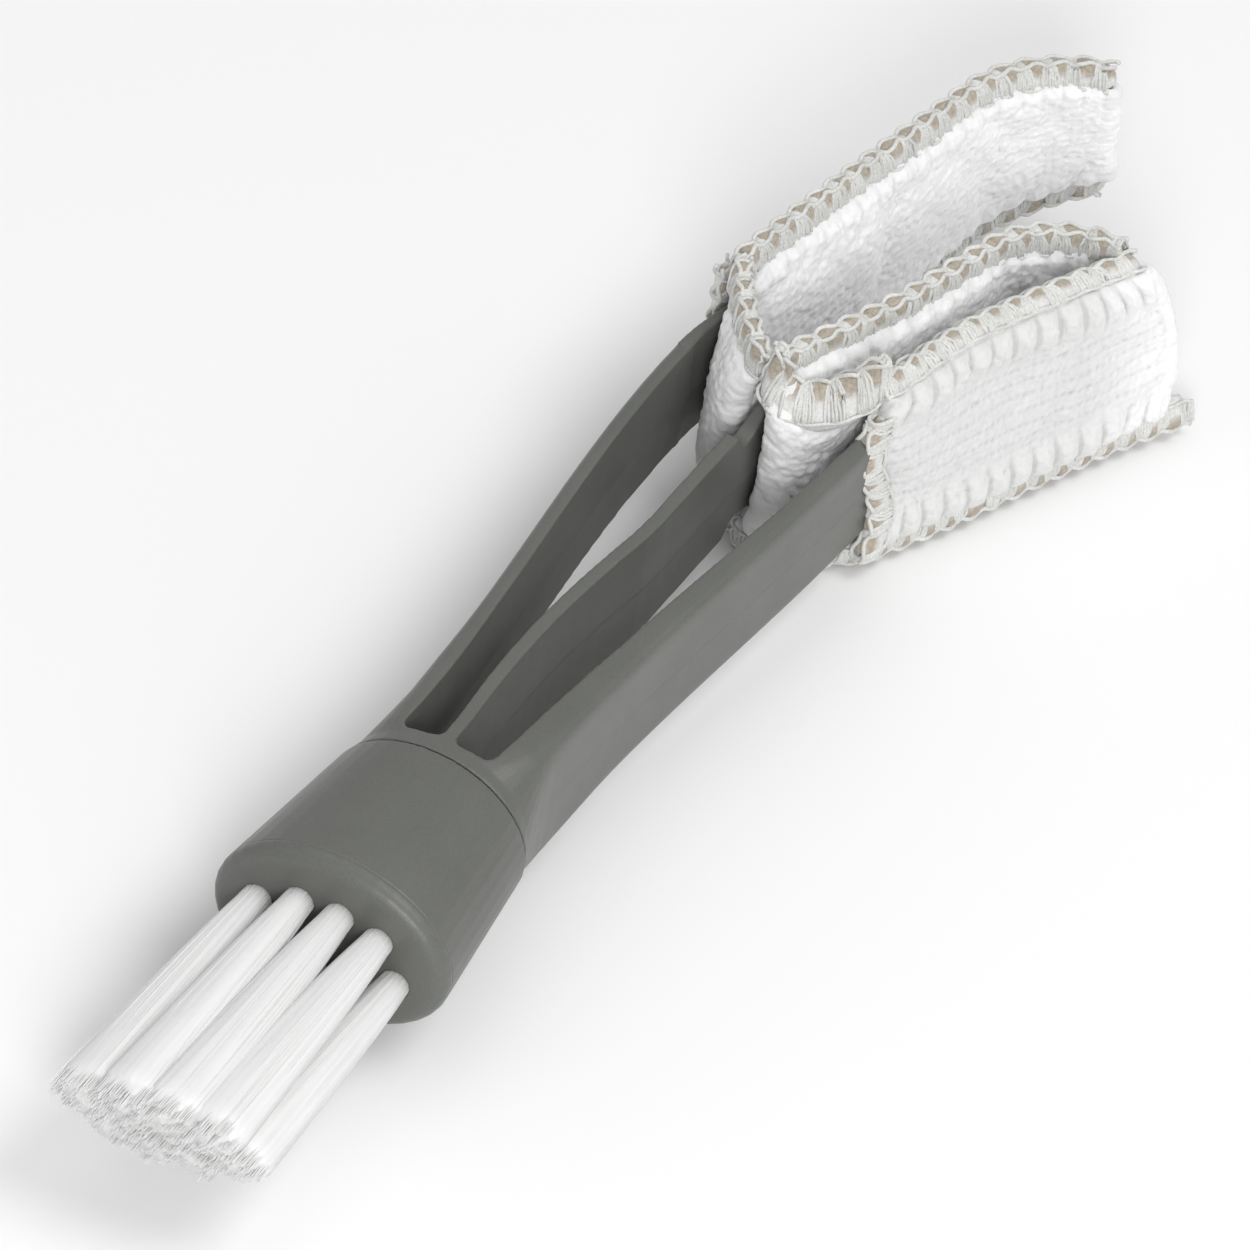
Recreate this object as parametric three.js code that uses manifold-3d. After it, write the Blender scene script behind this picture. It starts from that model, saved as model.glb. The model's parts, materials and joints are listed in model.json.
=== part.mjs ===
// A double-ended car vent brush: an oval head of nylon tufts on one end of a three-blade fork,
// and a pull-off cover of three sewn microfibre pockets over the blades at the other end.
// Millimetres, +Z up. The bristles point along -X, and the brush lies on the cover's lower seams.
import * as THREE from "three";
import { mergeVertices } from "three/addons/utils/BufferGeometryUtils.js";
import Module from "manifold-3d";

// Brush head, whose lengths start at its end face
const HEAD_LENGTH = 20.3;
const FACE_WIDTH = 26;
const FACE_HEIGHT = 19.2;
const SEAM_WIDTH = 21.6;
const SEAM_HEIGHT = 18.2;
const RIM_RADIUS = 1.6;
const FACE_WALL = 4;
const SOCKET_WALL = 1.1;
const SNAP_HEIGHT = 0.5;
const SNAP_LENGTH = 1.4;

// Bristles: eight tufts in an oval ring, fused to root pads behind the face
const TUFT_PITCH = 4.35;
const TUFT_ROW_SHIFT = 1;
const TUFT_RING_WIDTH = 16.6;
const TUFT_RING_HEIGHT = 7.6;
const TUFT_HOLE_DIAMETER = 3;
const TUFT_ROOT_DIAMETER = 1.9;
const TUFT_TIP_DIAMETER = 4.4;
const TUFT_SPLAY = 1.14;
const TUFT_ROOT_DRAW = 0.98;
const BRISTLE_LENGTH = 31;
const BRISTLE_RAGGED = 2.4;
const STRANDS_PER_TUFT = 48;
const STRAND_DIAMETER = 0.26;
const STRAND_SINK = 0.5;
const ROOT_PAD = 2.4;
const PAD_MARGIN = 0.1;
const PAD_SIDE_GAP = 0.6;

// Fork: a collar behind the seam that splits into three upright blades
const SEAM_STEP = 0.15;
const SPIGOT_LAP = 1;
const WAIST_FROM_SEAM = 10;
const WAIST_WIDTH = 16.4;
const BLADE_SPREAD = 23.9;
const BLADE_HEIGHT = 13.7;
const BLADE_THICKNESS = 2.2;
const BLADE_DRAFT = Math.tan(THREE.MathUtils.degToRad(2.9));
const PARTING_LAND = 0.8;
const OUTER_STEM_LENGTH = 70.5;
const MIDDLE_STEM_LENGTH = 64.5;
const COLLAR_BLEND = 27;
const COLLAR_SQUARED = 18;
const COLLAR_LEAN = 0.4;
const COLLAR_LEAN_LENGTH = 8;
const SLOT_FROM_SEAM = 2.3;
const SLOT_CORNER = 1.2;
const ROOT_THICKENING = 0.8;
const RIGHT_THICKENING = 1.35;
const STEM_LEAN = 1.35;
const MIDDLE_BOW = 1.9;
const MIDDLE_BOW_LENGTH = 45;
const MIDDLE_BOW_LEAD = 2;

// Paddles: the thin ends of the blades inside the cover, set over to one side
const PADDLE_LEAN = THREE.MathUtils.degToRad(15.5);
const PADDLE_FAN = THREE.MathUtils.degToRad(3);
const PADDLE_BEND = 5.5;
const PADDLE_THICKNESS = 1.8;
const PADDLE_REACH = 24;
const PADDLE_TIP_RADIUS = 5;
const STEM_LAP = 1;
const NECK_BEFORE_END = 4.4;
const NECK_LENGTH = 6.5;
const NECK_DEPTH = 1.9;

// Cover: cloth pockets, the webs between them and the overlocked edges
const CLOTH = 1.1;
const POCKET_ABOVE = 10.2;
const POCKET_BELOW = 8.6;
const POCKET_SHOULDER = 2.4;
const POCKET_FOOT = 1.2;
const POCKET_TIP_HALF = 1.7;
const POCKET_TIP_BLEND = 6;
const POCKET_TIP_CLOSE = 4;
const POCKET_TIP_DROP = 1.6;
const POCKET_RISE_FROM = 24;
const WEB_DEPTH = 3.2;
const EDGE_HEIGHT = 2.4;
const EDGE_THICKNESS = 2.4;
const EDGE_FLAT = 0.5;
const HEM_WIDTH = 2.5;
const HEM_EXTRA = 0.2;
const CLOTH_EDGE_ROUND = 0.4;
const CLOTH_EDGE_INSET = 0.2;
const POCKETS = {
  left: { mouth: 5.4, fan: 4.5, straight: 39, curl: -72, curlLength: 18, rise: 6.8 },
  middle: { mouth: 0, fan: 0, straight: 27, curl: -76, curlLength: 17.5, rise: 0 },
  right: { mouth: 3.4, fan: -6, straight: 29, curl: -6, curlLength: 9, rise: 0 },
};

// Clearances
const FIT_GAP = 0.3;
const SLIP = 0.35;
const BLADE_SLACK = 0.1;
const ROOM_PAST_TIP = 1;
const ROOM_CORNER = 0.3;
const JOIN_INSET = 0.02;
const CUT_PAST = 2;

const wasm = await Module();
wasm.setup();

const ease = (value) => THREE.MathUtils.smoothstep(value, 0, 1);
const { degToRad, lerp, clamp } = THREE.MathUtils;

const PLASTIC = { color: 0x696c68, roughness: 0.5, metalness: 0 };
const NYLON = { color: 0xf0f1ee, roughness: 0.35, metalness: 0 };
const MICROFIBRE = { color: 0xf3f3f1, roughness: 0.95, metalness: 0 };
const THREAD = { color: 0xdfdcd2, roughness: 0.8, metalness: 0 };

function solidOf(geometry) {
  const bare = geometry.clone();
  bare.deleteAttribute("normal");
  bare.deleteAttribute("uv");
  const merged = mergeVertices(bare, 1e-4);
  const vertProperties = new Float32Array(merged.attributes.position.array);
  const triVerts = new Uint32Array(merged.index.array);
  return new wasm.Manifold(new wasm.Mesh({ numProp: 3, vertProperties, triVerts }));
}

function geometryOf(solid) {
  const mesh = solid.getMesh();
  const geometry = new THREE.BufferGeometry();
  geometry.setAttribute("position", new THREE.BufferAttribute(mesh.vertProperties, 3));
  geometry.setIndex(new THREE.BufferAttribute(mesh.triVerts, 1));
  geometry.computeVertexNormals();
  return geometry;
}

function cut(geometry, tools) {
  return geometryOf(tools.reduce((solid, tool) => solid.subtract(solidOf(tool)), solidOf(geometry)));
}

function join(geometries) {
  const [first, ...rest] = geometries.map(solidOf);
  return geometryOf(rest.reduce((solid, other) => solid.add(other), first));
}

// Skin over rings of points, each ring counter-clockwise about the way the rings run
function loft(rings) {
  const size = rings[0].length;
  const sum = (ring) => ring.reduce((total, point) => total.add(point), new THREE.Vector3());
  const middle = (ring) => sum(ring).divideScalar(size);
  const points = [...rings.flat(), middle(rings[0]), middle(rings.at(-1))];
  const startCap = points.length - 2;
  const endCap = points.length - 1;
  const lastRing = (rings.length - 1) * size;
  const index = [];
  for (let j = 0; j < size; j += 1) {
    const k = (j + 1) % size;
    for (let base = 0; base < lastRing; base += size) {
      index.push(base + j, base + k, base + size + k, base + j, base + size + k, base + size + j);
    }
    index.push(startCap, k, j, endCap, lastRing + j, lastRing + k);
  }
  const geometry = new THREE.BufferGeometry().setFromPoints(points);
  geometry.setIndex(index);
  geometry.computeVertexNormals();
  return geometry;
}

// Oval section square to X, round at squareness 2 and nearly a rectangle at high values
function ovalRing(x, halfWidth, halfHeight, { squareness = 2, shift = 0, points = 40 } = {}) {
  const bow = (value) => Math.sign(value) * Math.abs(value) ** (2 / squareness);
  return Array.from({ length: points }, (_, i) => {
    const angle = (i / points) * 2 * Math.PI;
    const y = shift + halfWidth * bow(Math.cos(angle));
    return new THREE.Vector3(x, y, halfHeight * bow(Math.sin(angle)));
  });
}

// Upright strip along stations in plan, with a ridge along its top and bottom edges
function strip(stations) {
  return loft(stations.map((station) => {
    const { x, y, angle, left, right, top, bottom, ridge, shoulder, foot = shoulder } = station;
    const at = (side, z) => new THREE.Vector3(x - side * Math.sin(angle), y + side * Math.cos(angle), z);
    return [
      at(left, bottom + foot), at(left, top - shoulder), at(ridge, top), at(-ridge, top),
      at(-right, top - shoulder), at(-right, bottom + foot), at(-ridge, bottom), at(ridge, bottom),
    ];
  }));
}

// Stations along a plan path made of legs, each turning evenly over its length
function walk(start, legs) {
  const stations = [{ ...start, run: 0 }];
  for (const { length, turn = 0, steps } of legs) {
    for (let i = 0; i < steps; i += 1) {
      const { x, y, angle, run } = stations.at(-1);
      const heading = angle + turn / steps / 2;
      const step = length / steps;
      stations.push({
        x: x + step * Math.cos(heading),
        y: y + step * Math.sin(heading),
        angle: angle + turn / steps,
        run: run + step,
      });
    }
  }
  return stations;
}

// Fork lines, as distances from the end face
const seamX = HEAD_LENGTH + FIT_GAP;
const waistX = seamX + WAIST_FROM_SEAM;
const outerEndX = seamX + OUTER_STEM_LENGTH;
const middleEndX = seamX + MIDDLE_STEM_LENGTH;
const lastEndX = Math.max(outerEndX, middleEndX);
const collarHalfWidth = SEAM_WIDTH / 2 - SEAM_STEP;
const collarHalfHeight = SEAM_HEIGHT / 2 - SEAM_STEP;

function halfWidthAt(x) {
  if (x < waistX) {
    return WAIST_WIDTH / 2 + (collarHalfWidth - WAIST_WIDTH / 2) * ((waistX - x) / WAIST_FROM_SEAM) ** 2;
  }
  return lerp(WAIST_WIDTH / 2, BLADE_SPREAD / 2, ease((x - waistX) / (outerEndX - waistX)));
}

function halfHeightAt(x) {
  const left = clamp(1 - (x - seamX) / COLLAR_BLEND, 0, 1);
  return BLADE_HEIGHT / 2 + (collarHalfHeight - BLADE_HEIGHT / 2) * left ** 2;
}

function leanAt(x) {
  const collar = COLLAR_LEAN * ease((x - seamX) / COLLAR_LEAN_LENGTH);
  const stem = (STEM_LEAN - COLLAR_LEAN) * Math.max(0, (x - waistX) / (outerEndX - waistX)) ** 3;
  return -collar - stem;
}

// The middle blade bows to the left between the collar and its straight end
function bowAt(x) {
  const along = clamp((x - seamX + MIDDLE_BOW_LEAD) / MIDDLE_BOW_LENGTH, 0, 1);
  return MIDDLE_BOW * Math.sin(along * Math.PI);
}

const squarenessAt = (x) => 2 + 12 * ease((x - seamX) / COLLAR_SQUARED);

// Thickness of an outer blade: both thicken at the collar, and the right one all the way from its end
function outerWallAt(side, x) {
  const collar = ROOT_THICKENING * (1 - ease((x - seamX) / COLLAR_BLEND));
  const stem = RIGHT_THICKENING * (1 - ease((x - waistX) / (outerEndX - waistX)));
  return BLADE_THICKNESS + collar + (side < 0 ? stem : 0);
}

// Centre line of a blade's stem: side is +1 for left, 0 for middle, -1 for right
const stemY = (side, x) => {
  const offset = side === 0 ? bowAt(x) : side * (halfWidthAt(x) - BLADE_THICKNESS / 2);
  return leanAt(x) + offset;
};

function stemAngle(side, x) {
  return Math.atan2(stemY(side, x) - stemY(side, x - 1), 1);
}

// Plan legs that turn a stem's end over to its paddle's line
function bendLegs(side) {
  const endX = side === 0 ? middleEndX : outerEndX;
  const angle = stemAngle(side, endX);
  const turn = -PADDLE_LEAN + side * PADDLE_FAN - angle;
  return {
    start: { x: endX - STEM_LAP, y: stemY(side, endX) - STEM_LAP * Math.tan(angle), angle },
    legs: [{ length: STEM_LAP, steps: 1 }, { length: PADDLE_BEND, turn, steps: 5 }],
  };
}

function bendEnd(side) {
  const { start, legs } = bendLegs(side);
  return walk(start, legs).at(-1);
}

// Cover frame: u runs along the pull-off line from the middle pocket's mouth, v to the left of it
const coverOrigin = bendEnd(0);
const coverAngle = -PADDLE_LEAN;

function toCover({ x, y }) {
  const dx = x - coverOrigin.x;
  const dy = y - coverOrigin.y;
  return {
    u: dx * Math.cos(coverAngle) + dy * Math.sin(coverAngle),
    v: dy * Math.cos(coverAngle) - dx * Math.sin(coverAngle),
  };
}

// Bend and flat paddle past the end of a stem, with all three tips level along u
function paddleStations(side) {
  const { start, legs } = bendLegs(side);
  const straight = PADDLE_REACH - PADDLE_TIP_RADIUS - toCover(bendEnd(side)).u;
  const stations = walk(start, [
    ...legs,
    { length: straight, steps: 10 },
    { length: PADDLE_TIP_RADIUS, steps: 5 },
  ]);
  const tipStart = STEM_LAP + PADDLE_BEND + straight;
  return stations.map((station) => {
    const thickness = lerp(BLADE_THICKNESS, PADDLE_THICKNESS, clamp(station.run / PADDLE_BEND, 0, 1));
    const half = thickness / 2 - JOIN_INSET;
    const past = Math.max(0, station.run - tipStart);
    const tip = PADDLE_TIP_RADIUS - Math.sqrt(Math.max(0, PADDLE_TIP_RADIUS ** 2 - past ** 2));
    const halfHeight = BLADE_HEIGHT / 2 - JOIN_INSET - tip;
    return {
      ...station,
      left: half,
      right: half,
      top: halfHeight,
      bottom: -halfHeight,
      ridge: half - BLADE_DRAFT * halfHeight,
      shoulder: halfHeight - PARTING_LAND / 2,
    };
  });
}

const sides = { left: 1, middle: 0, right: -1 };
const paddles = {
  left: paddleStations(1),
  middle: paddleStations(0),
  right: paddleStations(-1),
};

// Each blade's line near the cover, in the cover frame
function bladeLine(name) {
  const endX = name === "middle" ? middleEndX : outerEndX;
  const stem = [6, 5, 4, 3, 2, 1].map((steps) => {
    const x = endX - steps * BLADE_THICKNESS;
    return { x, y: stemY(sides[name], x), left: BLADE_THICKNESS / 2 };
  });
  return [...stem, ...paddles[name]].map((station) => {
    const half = station.left + BLADE_SLACK;
    return { ...toCover(station), half };
  });
}

const bladeLines = { left: bladeLine("left"), middle: bladeLine("middle"), right: bladeLine("right") };
const paddleTip = (name) => bladeLines[name].at(-1).u;

function bladeAt(name, u) {
  const line = bladeLines[name];
  const next = clamp(line.filter((point) => point.u <= u).length, 1, line.length - 1);
  const [a, b] = [line[next - 1], line[next]];
  return lerp(a.v, b.v, clamp((u - a.u) / (b.u - a.u), 0, 1));
}

// Room that a blade needs at u while the cover is drawn off over the rest of it
function roomAt(name, u) {
  const here = { v: bladeAt(name, u), half: BLADE_THICKNESS / 2 };
  const ahead = [here, ...bladeLines[name].filter((point) => point.u >= u)];
  return {
    low: Math.min(...ahead.map(({ v, half }) => v - half)) - SLIP,
    high: Math.max(...ahead.map(({ v, half }) => v + half)) + SLIP,
  };
}

function oval(inset, from, to, points = 40) {
  const half = [SEAM_WIDTH / 2 - inset, SEAM_HEIGHT / 2 - inset];
  return loft([ovalRing(from, ...half, { points }), ovalRing(to, ...half, { points })]);
}

const tufts = [2, 1, 0, -1, -2, -1, 0, 1].map((step, i) => {
  const side = i < 4 ? 1 : -1;
  const y = step * TUFT_PITCH - side * TUFT_ROW_SHIFT;
  const rise = Math.sqrt(1 - ((2 * y) / TUFT_RING_WIDTH) ** 2);
  return { y, z: (side * rise * TUFT_RING_HEIGHT) / 2 };
});
const padReach = TUFT_ROOT_DIAMETER / 2 + STRAND_DIAMETER / 2 + PAD_MARGIN;
const padFront = FACE_WALL + FIT_GAP;
const padBack = padFront + ROOT_PAD;
const spigotFront = padBack + FIT_GAP;
const snapX = lerp(spigotFront, HEAD_LENGTH, 0.6);

function brushHead() {
  const taper = (x) => x / HEAD_LENGTH;
  const rim = [0, 1, 2, 3, 4].map((i) => {
    const angle = (i / 4) * (Math.PI / 2);
    return { x: RIM_RADIUS * (1 - Math.cos(angle)), inset: RIM_RADIUS * (1 - Math.sin(angle)) };
  });
  const rings = [...rim, { x: HEAD_LENGTH, inset: 0 }].map(({ x, inset }) => ovalRing(
    x,
    lerp(FACE_WIDTH, SEAM_WIDTH, taper(x)) / 2 - inset,
    lerp(FACE_HEIGHT, SEAM_HEIGHT, taper(x)) / 2 - inset,
  ));
  const holes = tufts.map(({ y, z }) => {
    const radius = TUFT_HOLE_DIAMETER / 2;
    const hole = new THREE.CylinderGeometry(radius, radius, 2 * (FACE_WALL + CUT_PAST), 16);
    return hole.rotateZ(Math.PI / 2).translate(0, y, z);
  });
  const chamberHalfWidth = (TUFT_RING_WIDTH / 2) * TUFT_ROOT_DRAW + padReach + PAD_SIDE_GAP;
  const chamber = loft([FACE_WALL, spigotFront].map((x) => ovalRing(
    x,
    chamberHalfWidth,
    SEAM_HEIGHT / 2 - SOCKET_WALL,
  )));
  const socket = oval(SOCKET_WALL, padBack, HEAD_LENGTH + CUT_PAST);
  const grooveInset = SOCKET_WALL - SNAP_HEIGHT;
  const grooveHalf = SNAP_LENGTH / 2 + FIT_GAP;
  const groove = oval(grooveInset, snapX - grooveHalf, snapX + grooveHalf);
  return cut(loft(rings), [chamber, socket, groove, ...holes]);
}

// One tuft of strands, spread evenly over a disc that widens toward the tips
function tuftStrands({ y, z }, seed) {
  const golden = Math.PI * (3 - Math.sqrt(5));
  return Array.from({ length: STRANDS_PER_TUFT }, (_, i) => {
    const radius = Math.sqrt((i + 0.5) / STRANDS_PER_TUFT) / 2;
    const angle = i * golden + seed;
    const spot = (scale, diameter) => [
      y * scale + diameter * radius * Math.cos(angle),
      z * scale + diameter * radius * Math.sin(angle),
    ];
    const ragged = (BRISTLE_RAGGED / 4) * Math.sin(12.9 * i + 4.1 * seed);
    const ends = [
      { x: padFront + STRAND_SINK, at: spot(TUFT_ROOT_DRAW, TUFT_ROOT_DIAMETER) },
      { x: -BRISTLE_LENGTH - ragged, at: spot(TUFT_SPLAY, TUFT_TIP_DIAMETER) },
    ];
    return loft(ends.map(({ x, at }) => [0, 1, 2].map((corner) => {
      const turn = -angle - (corner * 2 * Math.PI) / 3;
      const half = STRAND_DIAMETER / 2;
      return new THREE.Vector3(x, at[0] + half * Math.cos(turn), at[1] + half * Math.sin(turn));
    })));
  });
}

function tuftGroup(numbers) {
  const ys = numbers.map((n) => tufts[n].y * TUFT_ROOT_DRAW);
  const zs = numbers.map((n) => tufts[n].z * TUFT_ROOT_DRAW);
  const low = { y: Math.min(...ys) - padReach, z: Math.min(...zs) - padReach };
  const high = { y: Math.max(...ys) + padReach, z: Math.max(...zs) + padReach };
  const pad = new THREE.BoxGeometry(ROOT_PAD, high.y - low.y, high.z - low.z);
  pad.translate((padFront + padBack) / 2, (low.y + high.y) / 2, (low.z + high.z) / 2);
  return join([pad, ...numbers.flatMap((n) => tuftStrands(tufts[n], n))]);
}

// Plan lines of a slot: the middle blade's face and the outer blade's
const slotInner = (side, x) => leanAt(x) + bowAt(x) + side * (BLADE_THICKNESS / 2);
const slotOuter = (side, x) => leanAt(x) + side * (halfWidthAt(Math.max(x, waistX)) - outerWallAt(side, x));

// Plan outline of one slot between the middle blade and an outer one, closed past the stems
function slotOutline(side) {
  const start = seamX + SLOT_FROM_SEAM;
  const lineStart = start + SLOT_CORNER;
  const steps = 24;
  const xs = Array.from({ length: steps + 1 }, (_, i) => lerp(lineStart, lastEndX, (i / steps) ** 1.4));
  const corner = (centre, from) => [1, 2, 3].map((i) => {
    const angle = from + side * (i / 4) * (Math.PI / 2);
    return [lineStart + SLOT_CORNER * Math.cos(angle), centre + SLOT_CORNER * Math.sin(angle)];
  });
  const innerCentre = slotInner(side, lineStart) + side * SLOT_CORNER;
  const outerCentre = slotOuter(side, lineStart) - side * SLOT_CORNER;
  const along = xs.map((x) => [x, slotInner(side, x)]);
  const back = xs.map((x) => [x, slotOuter(side, x)]).reverse();
  const past = [slotInner, slotOuter].map((line) => [lastEndX + CUT_PAST, line(side, lastEndX)]);
  return [
    ...along, ...past, ...back,
    ...corner(outerCentre, side * (Math.PI / 2)), [start, outerCentre],
    [start, innerCentre], ...corner(innerCentre, Math.PI),
  ];
}

// Tool for one slot: narrowest at mid height, where the mould parts, so the blades thin towards their edges
function slotTool(side) {
  const shape = new THREE.Shape(slotOutline(side).map(([x, y]) => new THREE.Vector2(x, y)));
  const depth = 2 * (collarHalfHeight + CUT_PAST);
  const tool = new THREE.ExtrudeGeometry(shape, { depth, steps: 2, bevelEnabled: false });
  tool.translate(0, 0, -depth / 2);
  const points = tool.attributes.position;
  for (let i = 0; i < points.count; i += 1) {
    const [x, y, z] = [points.getX(i), points.getY(i), points.getZ(i)];
    const middle = (slotInner(side, x) + slotOuter(side, x)) / 2;
    points.setY(i, y + Math.sign(y - middle) * BLADE_DRAFT * Math.abs(z));
  }
  return tool;
}

// Scoop out of the top or bottom edge of the middle blade, where it goes into the cover
function neckScoop(edge) {
  const from = middleEndX - NECK_BEFORE_END;
  const level = BLADE_HEIGHT / 2;
  const curve = Array.from({ length: 13 }, (_, i) => {
    const along = i / 12;
    const rise = level - NECK_DEPTH * Math.sin(Math.PI * along ** 0.6);
    return new THREE.Vector2(from + NECK_LENGTH * along, edge * rise);
  });
  const past = [from + NECK_LENGTH, from].map((x) => new THREE.Vector2(x, edge * (level + CUT_PAST)));
  const depth = 3 * BLADE_THICKNESS;
  const shape = new THREE.Shape([...curve, ...past]);
  const scoop = new THREE.ExtrudeGeometry(shape, { depth, bevelEnabled: false });
  return scoop.rotateX(Math.PI / 2).translate(0, leanAt(middleEndX) + depth / 2, 0);
}

function stemWaste(endX, from, to) {
  const length = lastEndX + CUT_PAST - endX;
  const waste = new THREE.BoxGeometry(length, Math.abs(to - from), 2 * (collarHalfHeight + CUT_PAST));
  return waste.translate(endX + length / 2, leanAt(endX) + (from + to) / 2, 0);
}

function fork() {
  const count = 22;
  const xs = Array.from({ length: count + 1 }, (_, i) => lerp(seamX, lastEndX, (i / count) ** 1.25));
  const envelope = loft(xs.map((x) => ovalRing(x, halfWidthAt(x), halfHeightAt(x), {
    squareness: squarenessAt(x),
    shift: leanAt(x),
  })));
  const midSlot = BLADE_THICKNESS;
  const outside = BLADE_SPREAD / 2 + CUT_PAST;
  const blades = cut(envelope, [
    slotTool(1),
    slotTool(-1),
    stemWaste(middleEndX, -midSlot, midSlot),
    stemWaste(outerEndX, midSlot, outside),
    stemWaste(outerEndX, -outside, -midSlot),
  ]);
  const spigot = oval(SOCKET_WALL + FIT_GAP, spigotFront, seamX + SPIGOT_LAP);
  const beadInset = SOCKET_WALL + FIT_GAP - SNAP_HEIGHT;
  const bead = oval(beadInset, snapX - SNAP_LENGTH / 2, snapX + SNAP_LENGTH / 2);
  const whole = join([blades, spigot, bead, ...Object.values(paddles).map(strip)]);
  return cut(whole, [neckScoop(1), neckScoop(-1)]);
}

// Path of a pocket in the cover frame, with the height and thickness of the cloth round the blade
function pocketStations(name) {
  const { mouth, fan, straight, curl, curlLength, rise } = POCKETS[name];
  const start = { x: mouth, y: bladeAt(name, mouth), angle: degToRad(fan) };
  const stations = walk(start, [
    { length: straight, steps: 10 },
    { length: curlLength, turn: degToRad(curl), steps: 8 },
  ]);
  const end = straight + curlLength;
  return stations.map((station) => {
    const room = roomAt(name, Math.min(station.x, paddleTip(name)));
    const past = ease((station.x - paddleTip(name)) / POCKET_TIP_BLEND);
    const close = ease((station.run - end + POCKET_TIP_CLOSE) / POCKET_TIP_CLOSE);
    const half = POCKET_TIP_HALF * (1 - 0.45 * close);
    const lift = rise * clamp((station.run - POCKET_RISE_FROM) / (end - POCKET_RISE_FROM), 0, 1) ** 2;
    return {
      ...station,
      lift,
      angle: station.run === 0 ? 0 : station.angle,
      left: lerp(room.high + CLOTH - station.y, half, past),
      right: lerp(station.y - room.low + CLOTH, half, past),
      top: POCKET_ABOVE - POCKET_TIP_DROP * close,
      bottom: -POCKET_BELOW + lift + POCKET_TIP_DROP * close,
      ridge: (EDGE_THICKNESS / 2) * (1 - 0.3 * close),
      shoulder: POCKET_SHOULDER,
      foot: POCKET_FOOT,
    };
  });
}

const pocketPaths = {
  left: pocketStations("left"),
  middle: pocketStations("middle"),
  right: pocketStations("right"),
};

// Room inside a pocket, straight along the pull-off line
function pocketRoom(name) {
  const mouth = pocketPaths[name][0].x;
  const halfHeight = BLADE_HEIGHT / 2 + SLIP;
  const end = paddleTip(name) + ROOM_PAST_TIP;
  const steps = 6;
  const inside = Array.from({ length: steps + 1 }, (_, i) => lerp(mouth, end, i / steps));
  return strip([mouth - CUT_PAST, ...inside].map((u) => {
    const { low, high } = roomAt(name, Math.max(u, mouth));
    const half = (high - low) / 2;
    return {
      x: u,
      y: (low + high) / 2,
      angle: 0,
      left: half,
      right: half,
      top: halfHeight,
      bottom: -halfHeight,
      ridge: half - ROOM_CORNER,
      shoulder: ROOM_CORNER,
    };
  }));
}

const pocket = (name) => cut(strip(pocketPaths[name]), [pocketRoom(name)]);

// Overlocked edge standing along a plan path, above the cloth or, at side -1, below it
function edging(stations, side) {
  const thickness = EDGE_THICKNESS / 2;
  return strip(stations.map(({ x, y, angle, lift = 0 }) => {
    const near = side > 0 ? POCKET_ABOVE + FIT_GAP : lift - POCKET_BELOW - FIT_GAP;
    const far = near + side * EDGE_HEIGHT;
    return {
      x,
      y,
      angle,
      left: thickness,
      right: thickness,
      top: Math.max(near, far),
      bottom: Math.min(near, far),
      ridge: thickness - EDGE_FLAT,
      shoulder: EDGE_FLAT,
    };
  }));
}

// Folded cloth that joins an outer pocket's inner panel to the middle pocket's panel
function webStations(name) {
  const side = sides[name];
  const outerMouth = pocketPaths[name][0].x;
  const outerRoom = roomAt(name, outerMouth);
  const middleMouth = pocketPaths.middle[0].x;
  const middleRoom = roomAt("middle", middleMouth);
  const outerV = side > 0 ? outerRoom.low - CLOTH / 2 : outerRoom.high + CLOTH / 2;
  const middleV = side > 0 ? middleRoom.high + CLOTH / 2 : middleRoom.low - CLOTH / 2;
  const outerEnd = new THREE.Vector2(outerMouth - FIT_GAP, outerV);
  const middleEnd = new THREE.Vector2(middleMouth - FIT_GAP, middleV);
  const centre = outerEnd.clone().add(middleEnd).divideScalar(2);
  const halfSpan = outerEnd.clone().sub(middleEnd).divideScalar(2);
  const steps = 10;
  return Array.from({ length: steps + 1 }, (_, i) => {
    const turn = (i / steps) * Math.PI;
    const point = halfSpan.clone().multiplyScalar(Math.cos(turn)).add(centre);
    const slope = halfSpan.clone().multiplyScalar(-Math.sin(turn));
    point.x -= WEB_DEPTH * Math.sin(turn);
    slope.x -= WEB_DEPTH * Math.cos(turn);
    return {
      x: point.x,
      y: point.y,
      angle: Math.atan2(slope.y, slope.x),
      left: CLOTH / 2,
      right: CLOTH / 2,
      top: POCKET_ABOVE,
      bottom: -POCKET_BELOW,
      ridge: CLOTH / 2 - CLOTH_EDGE_INSET,
      shoulder: CLOTH_EDGE_ROUND,
    };
  });
}

// Overlocked hem on the outer panel's free edge at an outer pocket's mouth
function mouthHem(name) {
  const side = sides[name];
  const end = pocketPaths[name][0].x - FIT_GAP;
  const start = end - HEM_WIDTH;
  const room = roomAt(name, start);
  const thickness = CLOTH + HEM_EXTRA;
  const v = side > 0 ? room.high + thickness / 2 : room.low - thickness / 2;
  return strip([start, end].map((u) => ({
    x: u,
    y: v,
    angle: 0,
    left: thickness / 2,
    right: thickness / 2,
    top: POCKET_ABOVE,
    bottom: -POCKET_BELOW,
    ridge: thickness / 2 - CLOTH_EDGE_ROUND,
    shoulder: CLOTH_EDGE_ROUND,
  })));
}

function addPiece(group, name, geometry, look) {
  const piece = new THREE.Mesh(geometry, new THREE.MeshStandardMaterial(look));
  piece.name = name;
  group.add(piece);
}

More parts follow.
